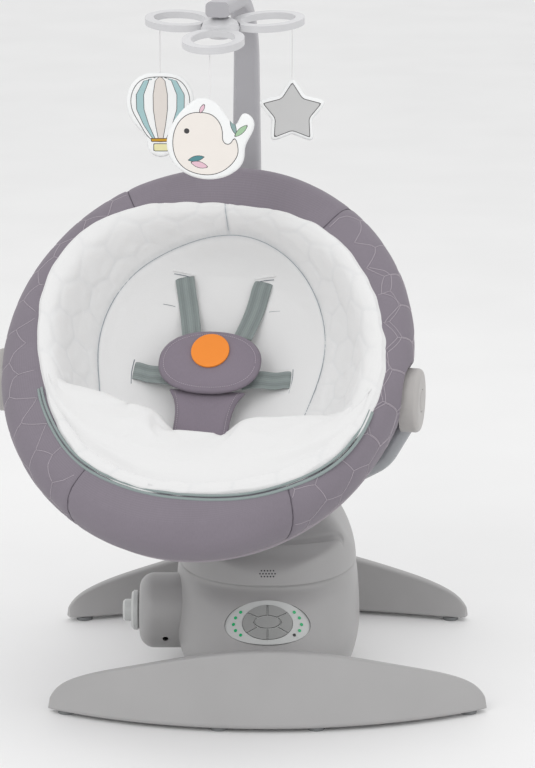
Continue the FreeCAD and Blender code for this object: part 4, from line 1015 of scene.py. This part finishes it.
def roof_height(x, y):
    """Height of the cover's roof, its two outlines blended where they cross."""
    side = np.interp(y, side_line[:, 0], side_line[:, 1])
    front = np.interp(x, front_line[:, 0], front_line[:, 1])
    blend = 20.0
    near = np.maximum(blend - np.abs(side - front), 0) / blend
    return np.minimum(side, front) - near * near * blend / 4


def barrel_point(angle, z):
    """The plan place of the body's wall in a direction, at a height."""
    wide, front, back = (np.interp(z, levels[:, 0], levels[:, i]) for i in (1, 2, 3))
    deep = (back - front) / 2
    shares = abs(math.cos(angle) / wide), abs(math.sin(angle) / deep)
    radius = (shares[0] ** BODY_POWER + shares[1] ** BODY_POWER) ** (-1 / BODY_POWER)
    return radius * math.cos(angle), (front + back) / 2 + radius * math.sin(angle)


def smoothed(values, reach, closed):
    """Gaussian smoothing along the first axis."""
    steps = np.arange(-3 * reach, 3 * reach + 1)
    weights = np.exp(-(steps / reach) ** 2 / 2)
    weights /= weights.sum()
    size = len(values)
    result = np.zeros_like(values)
    for step, weight in zip(steps, weights):
        index = np.arange(size) + step
        index = index % size if closed else np.clip(index, 0, size - 1)
        result += weight * values[index]
    return result


columns = []
for i in range(COVER_COLUMNS):
    angle = math.tau * i / COVER_COLUMNS
    line = []
    for z in np.arange(COVER_FOOT, 243, 0.75):
        x, y = barrel_point(angle, z)
        if z >= roof_height(x, y):
            break
        line.append((x, y, z))
    for share in np.linspace(1, 0, 90)[1:]:
        px, py = x * share, 25 + (y - 25) * share
        line.append((px, py, float(roof_height(px, py))))
    line = np.array(line)
    reach = arc_length(line)
    even = np.linspace(0, reach[-1], COVER_ROWS)
    even_line = np.column_stack([np.interp(even, reach, line[:, k]) for k in range(3)])
    foot = even_line[0].copy()
    soft = smoothed(even_line, 3, False)
    start = np.clip(np.arange(COVER_ROWS) / 8, 0, 1)[:, None]
    soft = even_line * (1 - start) + soft * start
    soft[0] = foot
    columns.append(soft)
shell = smoothed(np.array(columns), 3, True).transpose(1, 0, 2)
shell[0, :, 2] = COVER_FOOT
swing_turn = np.degrees(np.arctan2(shell[:, :, 0], 360 - shell[:, :, 1]))
off_end = np.radians(np.maximum(np.abs(swing_turn) - SLOT_TURN, 0)) * SLOT_RADIUS
slot_gap = np.hypot(np.hypot(shell[:, :, 0], 360 - shell[:, :, 1]) - SLOT_RADIUS, off_end)
press = np.clip((SLOT_HALF - slot_gap) / 2.2, 0, 1) * (shell[:, :, 1] < 60)
press = press * press * (3 - 2 * press)
groove_shell = shell.copy()
groove_shell[:, :, 2] -= SLOT_DEPTH * press
lining = shell[np.linspace(0, COVER_ROWS - 1, LINING_ROWS).astype(int)].copy()
toward = np.array((0, 25, 150)) - lining
toward /= np.linalg.norm(toward, axis=2)[:, :, None]
lining += toward * COVER_WALL * 2.4
lining[0, :, 2] = COVER_FOOT
outer_count, lining_count = (COVER_ROWS - 1) * COVER_COLUMNS, (LINING_ROWS - 1) * COVER_COLUMNS
points = np.concatenate([groove_shell[:-1].reshape(-1, 3), lining[:-1].reshape(-1, 3),
                         [groove_shell[-1].mean(axis=0), lining[-1].mean(axis=0)]])
faces = ring_grid(COVER_ROWS - 1, COVER_COLUMNS)
faces += [tuple(reversed(f)) for f in ring_grid(LINING_ROWS - 1, COVER_COLUMNS, offset=outer_count)]
crown, vault = outer_count + lining_count, outer_count + lining_count + 1
crown_ring, vault_ring = outer_count - COVER_COLUMNS, outer_count + lining_count - COVER_COLUMNS
for c in range(COVER_COLUMNS):
    d = (c + 1) % COVER_COLUMNS
    faces.append((crown, crown_ring + c, crown_ring + d))
    faces.append((vault, vault_ring + d, vault_ring + c))
    faces.append((d, c, outer_count + c, outer_count + d))
top_cover = mesh_from("top_cover_smooth", points, faces, grey)
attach(top_cover, "base")
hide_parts("top_cover", "slot_seal")

front_wall = BVHTree.FromObject(top_cover, bpy.context.evaluated_depsgraph_get())
points, faces = [], []
# The speaker holes are not cut: dark plugs set into the cover are the painted shade of the holes.
SPEAKER_ROWS = [(-1, 5), (0, 6), (1, 5)]
HOLE_RADIUS = 1.1
for level, count in SPEAKER_ROWS:
    for i in range(count):
        place = Vector(((i - (count - 1) / 2) * 4.0, -200, 168 + level * 3.5)) * MM
        hit = front_wall.ray_cast(place, Vector((0, 1, 0)))
        centre, normal = hit[0] / MM, hit[1]
        across = normal.cross(Vector((0, 0, 1))).normalized()
        up = across.cross(normal)
        for depth in (-1.5, 0.12):
            for k in range(12):
                turn = math.tau * k / 12
                rim = across * math.cos(turn) + up * math.sin(turn)
                points.append(centre + normal * depth + rim * HOLE_RADIUS)
        first = len(points) - 24
        faces += ring_grid(2, 12, offset=first) + end_caps(12, 2, first)
speaker_holes = mesh_from("speaker_holes", points, faces, dark_plastic)
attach(speaker_holes, "base")

# ---------------------------------------------------------------- ribs between the keys
PANEL_AXES = Vector((1, 0, 0)), Vector((0, 0.64812, 0.761538)), Vector((0, -0.761538, 0.64812))
PANEL_CENTRE = Vector((0, -147, 112))
PANEL_CURVE, RIB_HEIGHT, RIB_RADIUS = 122.0, 1.35, 0.62
KEYPAD, MIDDLE_KEY = (33.0, 24.0), (17.5, 9.0)


def on_panel(x, y):
    depth = math.sqrt((PANEL_CURVE + RIB_HEIGHT) ** 2 - x * x) - PANEL_CURVE
    return tuple(PANEL_CENTRE + PANEL_AXES[0] * x + PANEL_AXES[1] * y + PANEL_AXES[2] * depth)


def to_oval(direction, half_axes):
    turn = math.radians(direction)
    return 1 / math.hypot(math.cos(turn) / half_axes[0], math.sin(turn) / half_axes[1])


def key_rib(name, places, closed):
    return tube_along(name, [on_panel(x, y) for x, y in places], RIB_RADIUS, grey_pale, closed=closed)


turns = np.linspace(0, math.tau, 96, endpoint=False)
middle_rib = [(MIDDLE_KEY[0] * math.cos(t), MIDDLE_KEY[1] * math.sin(t)) for t in turns]
ribs = [key_rib("key_rib_middle", middle_rib, True)]
for direction in (28, 90, 152, 208, 270, 332):
    turn = math.radians(direction)
    reaches = np.linspace(to_oval(direction, MIDDLE_KEY), to_oval(direction, KEYPAD), 8)
    bar = [(r * math.cos(turn), r * math.sin(turn)) for r in reaches]
    ribs.append(key_rib("key_rib_%d" % direction, bar, False))
for rib in ribs:
    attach(rib, "base")

# ---------------------------------------------------------------- toy cords
TOY_TOPS = {"bird": 797.0, "star": 799.0, "balloon": 804.0}
LOOP_ANGLES = {"bird": -90, "star": 30, "balloon": 150}
STRING_REACH, LOOP_HALF, CORD_GAP = 103.0, 4.5, 0.5
pivots = {}
for name, angle in LOOP_ANGLES.items():
    turn = math.radians(angle)
    reach_x, reach_y = STRING_REACH * math.cos(turn) * MM, STRING_REACH * math.sin(turn) * MM
    pivot = MOBILE @ Vector((reach_x, reach_y, -LOOP_HALF * MM))
    pivots[name] = pivot
    start = pivot.z - CORD_GAP * MM
    end = TOY_TOPS[name] * MM
    length = start - end
    data = bpy.data.curves.new("toy_string_" + name, "CURVE")
    data.dimensions = "3D"
    data.bevel_depth = 0.0008
    data.bevel_resolution = 4
    data.use_fill_caps = True
    spline = data.splines.new("NURBS")
    spline.points.add(4)
    for point, share in zip(spline.points, (0, 0.25, 0.5, 0.75, 1)):
        point.co = (pivot.x, pivot.y, start - length * share, 1)
    spline.use_endpoint_u = True
    spline.order_u = 4
    data.materials.append(cord_cotton)
    string = bpy.data.objects.new("toy_string_" + name, data)
    scene.collection.objects.link(string)
    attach(string, "toy_" + name)
    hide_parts("toy_cord_" + name)

# ---------------------------------------------------------------- stuffed toys
TOY_HALF, TOY_SEAM, TOY_ROUND = 3.9, 0.7, 11.0
BALLOON_HALF = [(28, -6), (44, -28), (44, -52), (32, -74), (20, -88), (17, -104), (9, -113)]
BIRD = [(-10, -1), (8, -8), (22, -26), (33, -36), (43, -22), (55, -28), (54, -48), (46, -64), (43, -84),
        (27, -101), (0, -108), (-28, -102), (-49, -84), (-56, -60), (-48, -34), (-30, -12)]
BIRD_BODY = [(-12, -20), (2, -23), (12, -33), (16, -47), (19, -60), (25, -61), (31, -54), (36, -66),
             (32, -82), (20, -94), (2, -101), (-16, -100), (-34, -92), (-45, -77), (-48, -60), (-45, -42),
             (-36, -28), (-24, -21)]
INK = linear("4b4a4c")


def closed_curve(points, count):
    """A smooth closed curve; the points are repeated on both sides so that the join is smooth too."""
    size = len(points)
    line = curve_through(list(points) * 3 + [points[0]], 3 * count + 1)
    gaps = np.linalg.norm(line - np.asarray(points[0], float), axis=1)
    first = int(np.argmin(gaps[count // 2:count + count // 2])) + count // 2
    return line[first:first + count]


def star_outline(long, short, centre, rounding):
    """A five-pointed star whose corners are rounded off."""
    corners = []
    for i in range(10):
        radius = short if i % 2 else long
        angle = math.pi / 2 + i * math.pi / 5
        corners.append(np.array((radius * math.cos(angle), radius * math.sin(angle) + centre)))
    points = []
    for i, corner in enumerate(corners):
        before, after = corners[i - 1], corners[(i + 1) % 10]
        a = (before - corner) / np.linalg.norm(before - corner)
        b = (after - corner) / np.linalg.norm(after - corner)
        half = math.acos(float(np.dot(a, b))) / 2
        cut = rounding / math.tan(half)
        for share in np.linspace(0, 1, 8):
            points.append(corner + a * cut * (1 - share) ** 2 + b * cut * share ** 2)
    return np.array(points)


def outline_gap(points, outline):
    """Signed distance from points to a closed outline, positive inside it."""
    gap = np.full(len(points), 1e9)
    inside = np.zeros(len(points), bool)
    for a, b in zip(outline, np.roll(outline, -1, axis=0)):
        edge = b - a
        share = np.clip(((points - a) @ edge) / max(float(edge @ edge), 1e-12), 0, 1)
        gap = np.minimum(gap, np.linalg.norm(points - a - share[:, None] * edge, axis=1))
        if a[1] != b[1]:
            crossing = (points[:, 1] > a[1]) != (points[:, 1] > b[1])
            inside ^= crossing & (points[:, 0] < edge[0] * (points[:, 1] - a[1]) / edge[1] + a[0])
    return np.where(inside, gap, -gap)


def leaf(points, centre, degrees, long, wide):
    """Positive inside a pointed leaf."""
    turn = math.radians(degrees)
    along = (points[:, 0] - centre[0]) * math.cos(turn) + (points[:, 1] - centre[1]) * math.sin(turn)
    across = (points[:, 1] - centre[1]) * math.cos(turn) - (points[:, 0] - centre[0]) * math.sin(turn)
    return wide / 2 * (1 - (2 * along / long) ** 2) - np.abs(across)


def printed_cloth(name, layers):
    """White cloth with printed shapes, each filled where its attribute is positive, some with an inked edge."""
    recipe = Recipe(name, Sheen_Weight=0.15, Specular_IOR_Level=0.15)
    uv = recipe.add("ShaderNodeUVMap").outputs["UV"]
    threads = recipe.math("ADD", recipe.wave(260, "X", uv), recipe.wave(260, "Y", uv))
    tone = recipe.ramp(threads, (0.2, linear("eef0f0")), (0.9, linear("f6f7f7")))
    for attribute, code, ink in layers:
        value = recipe.attribute(attribute)
        if code:
            tone = recipe.mix(recipe.math("GREATER_THAN", value, 0.0), tone, linear(code))
        if ink:
            line = recipe.math("LESS_THAN", recipe.math("ABSOLUTE", value), ink)
            tone = recipe.mix(line, tone, INK)
    recipe.colour(tone)
    recipe.rough(threads, 0.7, 0.85)
    recipe.bump(threads, 0.0001, 0.5)
    return recipe.material


def flat_area(plan, face):
    """Twice the signed area of a triangle in the plane."""
    a, b, c = (plan[i] for i in face[:3])
    return (b[0] - a[0]) * (c[1] - a[1]) - (c[0] - a[0]) * (b[1] - a[1])


def stuffed_toy(name, outline, marks, layers):
    """A flat stuffed toy: front and back sewn together along the outline, crowned in between."""
    outline = np.asarray(outline, float)
    low, high = outline.min(axis=0), outline.max(axis=0)
    step = 2.0
    across, up = np.arange(low[0], high[0], step), np.arange(low[1], high[1], step)
    raster = np.array([(x, z) for x in across for z in up])
    raster = raster[outline_gap(raster, outline) > 0.6 * step]
    plan = np.concatenate([outline, raster])
    edge_count = len(outline)
    border = [(i, (i + 1) % edge_count) for i in range(edge_count)]
    found = delaunay_2d_cdt([Vector(p) for p in plan], border, [], 1, 1e-5)
    plan = np.array([tuple(p) for p in found[0]])
    gap = np.maximum(outline_gap(plan, outline), 0)
    rim = gap < 1e-3
    rise = 1 - np.clip(gap / TOY_ROUND, 0, 1)
    crease = 0.35 * soft_noise(plan[:, 0], plan[:, 1], 0 * gap, 17.0) * np.clip(gap / 8, 0, 1)
    half = TOY_SEAM + (TOY_HALF - 0.4 - TOY_SEAM) * np.sqrt(np.maximum(1 - rise ** 2.2, 0)) + crease
    half = np.where(rim, 0, np.minimum(half, TOY_HALF))
    front = np.column_stack([plan[:, 0], -half, plan[:, 1]])
    back_index = np.cumsum(~rim) - 1 + len(plan)
    back_index = np.where(rim, np.arange(len(plan)), back_index)
    back = front[~rim] * (1, -1, 1)
    faces = [tuple(f) for f in found[2]]
    faces = [f if flat_area(plan, f) > 0 else tuple(reversed(f)) for f in faces]
    both = faces + [tuple(int(back_index[i]) for i in reversed(f)) for f in faces]
    points = np.concatenate([front, back])
    pivot = pivots[name]
    place = Matrix.Translation((pivot.x, pivot.y, TOY_TOPS[name] * MM))
    cloth = printed_cloth("print_" + name, layers)
    toy = mesh_from("toy_" + name + "_soft", points, both, cloth, points[:, [0, 2]] * MM, place)
    for attribute, value in marks(points[:, [0, 2]]).items():
        float_attribute(toy, attribute, value)
    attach(toy, "toy_" + name)
    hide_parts("toy_" + name)
    return toy


balloon_outline = closed_curve([(0, 0)] + BALLOON_HALF + [(-x, z) for x, z in reversed(BALLOON_HALF)], 200)
bird_outline = closed_curve(BIRD, 220)
star_edge = star_outline(50, 29, -46, 7)
ENVELOPE = [(0, -6), (26, -11), (38.5, -30), (38, -50), (27, -71), (12, -91), (-12, -91), (-27, -71),
            (-38, -50), (-38.5, -30), (-26, -11)]
envelope = closed_curve(ENVELOPE, 160)
body = closed_curve(BIRD_BODY, 160)


def balloon_marks(points):
    reach = np.interp(-points[:, 1], (6, 11, 30, 50, 71, 91), (6, 26, 38.5, 38, 27, 12)) + 1e-3
    share = np.abs(points[:, 0]) / reach
    inside = outline_gap(points, envelope)
    marks = {"outside": inside}
    for label, first, last in (("middle", -1, 0.25), ("side", 0.58, 0.84)):
        marks[label] = np.minimum(np.minimum((share - first) * reach, (last - share) * reach), inside)
    marks["basket"] = np.minimum(9.5 - np.abs(points[:, 0]), 5.0 - np.abs(points[:, 1] + 101.5))
    marks["collar"] = np.minimum(13 - np.abs(points[:, 0]), 2.2 - np.abs(points[:, 1] + 91.5))
    return marks


def bird_marks(points):
    eye = 3.6 - np.hypot(points[:, 0] + 30, points[:, 1] + 44)
    return {"body": outline_gap(points, body), "eye": eye,
            "wing_top": leaf(points, (-18, -80), 12, 22, 7), "wing_low": leaf(points, (-14, -88), -16, 24, 8),
            "tail_left": leaf(points, (30, -38), 108, 24, 6), "tail_right": leaf(points, (40, -44), 42, 24, 7),
            "crest": leaf(points, (-10, -15), 62, 15, 5)}


def star_marks(points):
    return {"inset": outline_gap(points, star_edge) - 5.0}


stuffed_toy("balloon", balloon_outline, balloon_marks,
            (("middle", "e3dcd6", 0.45), ("side", "a9c9cc", 0.45), ("outside", None, 0.5),
             ("basket", "e9e4b4", 0.5), ("collar", "c99a35", 0.45)))
stuffed_toy("bird", bird_outline, bird_marks,
            (("body", "efe9e3", 0.5), ("tail_left", "8fa9a8", 0.35), ("tail_right", "a9c9a6", 0.35),
             ("crest", "e6c2cf", 0.35), ("wing_top", "5c9096", 0.35), ("wing_low", "e6c2cf", 0.35),
             ("eye", "4b4a4c", None)))
stuffed_toy("star", star_edge, star_marks, (("inset", "c9c9c9", 0.5),))

# ---------------------------------------------------------------- stage and light
floor_recipe = Recipe("floor_pale", Roughness=0.55)
floor_recipe.colour(floor_recipe.ramp(floor_recipe.noise(3.0), (0.2, 0.86), (0.8, 0.9)))
floor_mesh = bpy.data.meshes.new("floor")
floor_mesh.from_pydata([(-8, -8, 0), (8, -8, 0), (8, 8, 0), (-8, 8, 0)], [], [(0, 1, 2, 3)])
floor = link("floor", floor_mesh, floor_recipe.material, False)

world = bpy.data.worlds.new("studio")
world.use_nodes = True
world.node_tree.nodes["Background"].inputs["Color"].default_value = (1, 1, 1, 1)
world.node_tree.nodes["Background"].inputs["Strength"].default_value = 0.9
scene.world = world


def area_light(name, place, target, size, power):
    data = bpy.data.lights.new(name, "AREA")
    data.shape = "RECTANGLE"
    data.size, data.size_y = size
    data.energy = power
    obj = bpy.data.objects.new(name, data)
    obj.location = place
    obj.rotation_euler = (Vector(target) - Vector(place)).to_track_quat("-Z", "Y").to_euler()
    scene.collection.objects.link(obj)


area_light("key", (-1.6, -2.2, 2.4), (0, 0, 0.4), (1.6, 1.6), 15)
area_light("fill", (2.2, -1.6, 1.4), (0, 0, 0.4), (1.6, 1.6), 5)
area_light("top", (0.2, 0.6, 2.8), (0, 0, 0.4), (2.0, 2.0), 8)
scene.view_settings.view_transform = "Standard"
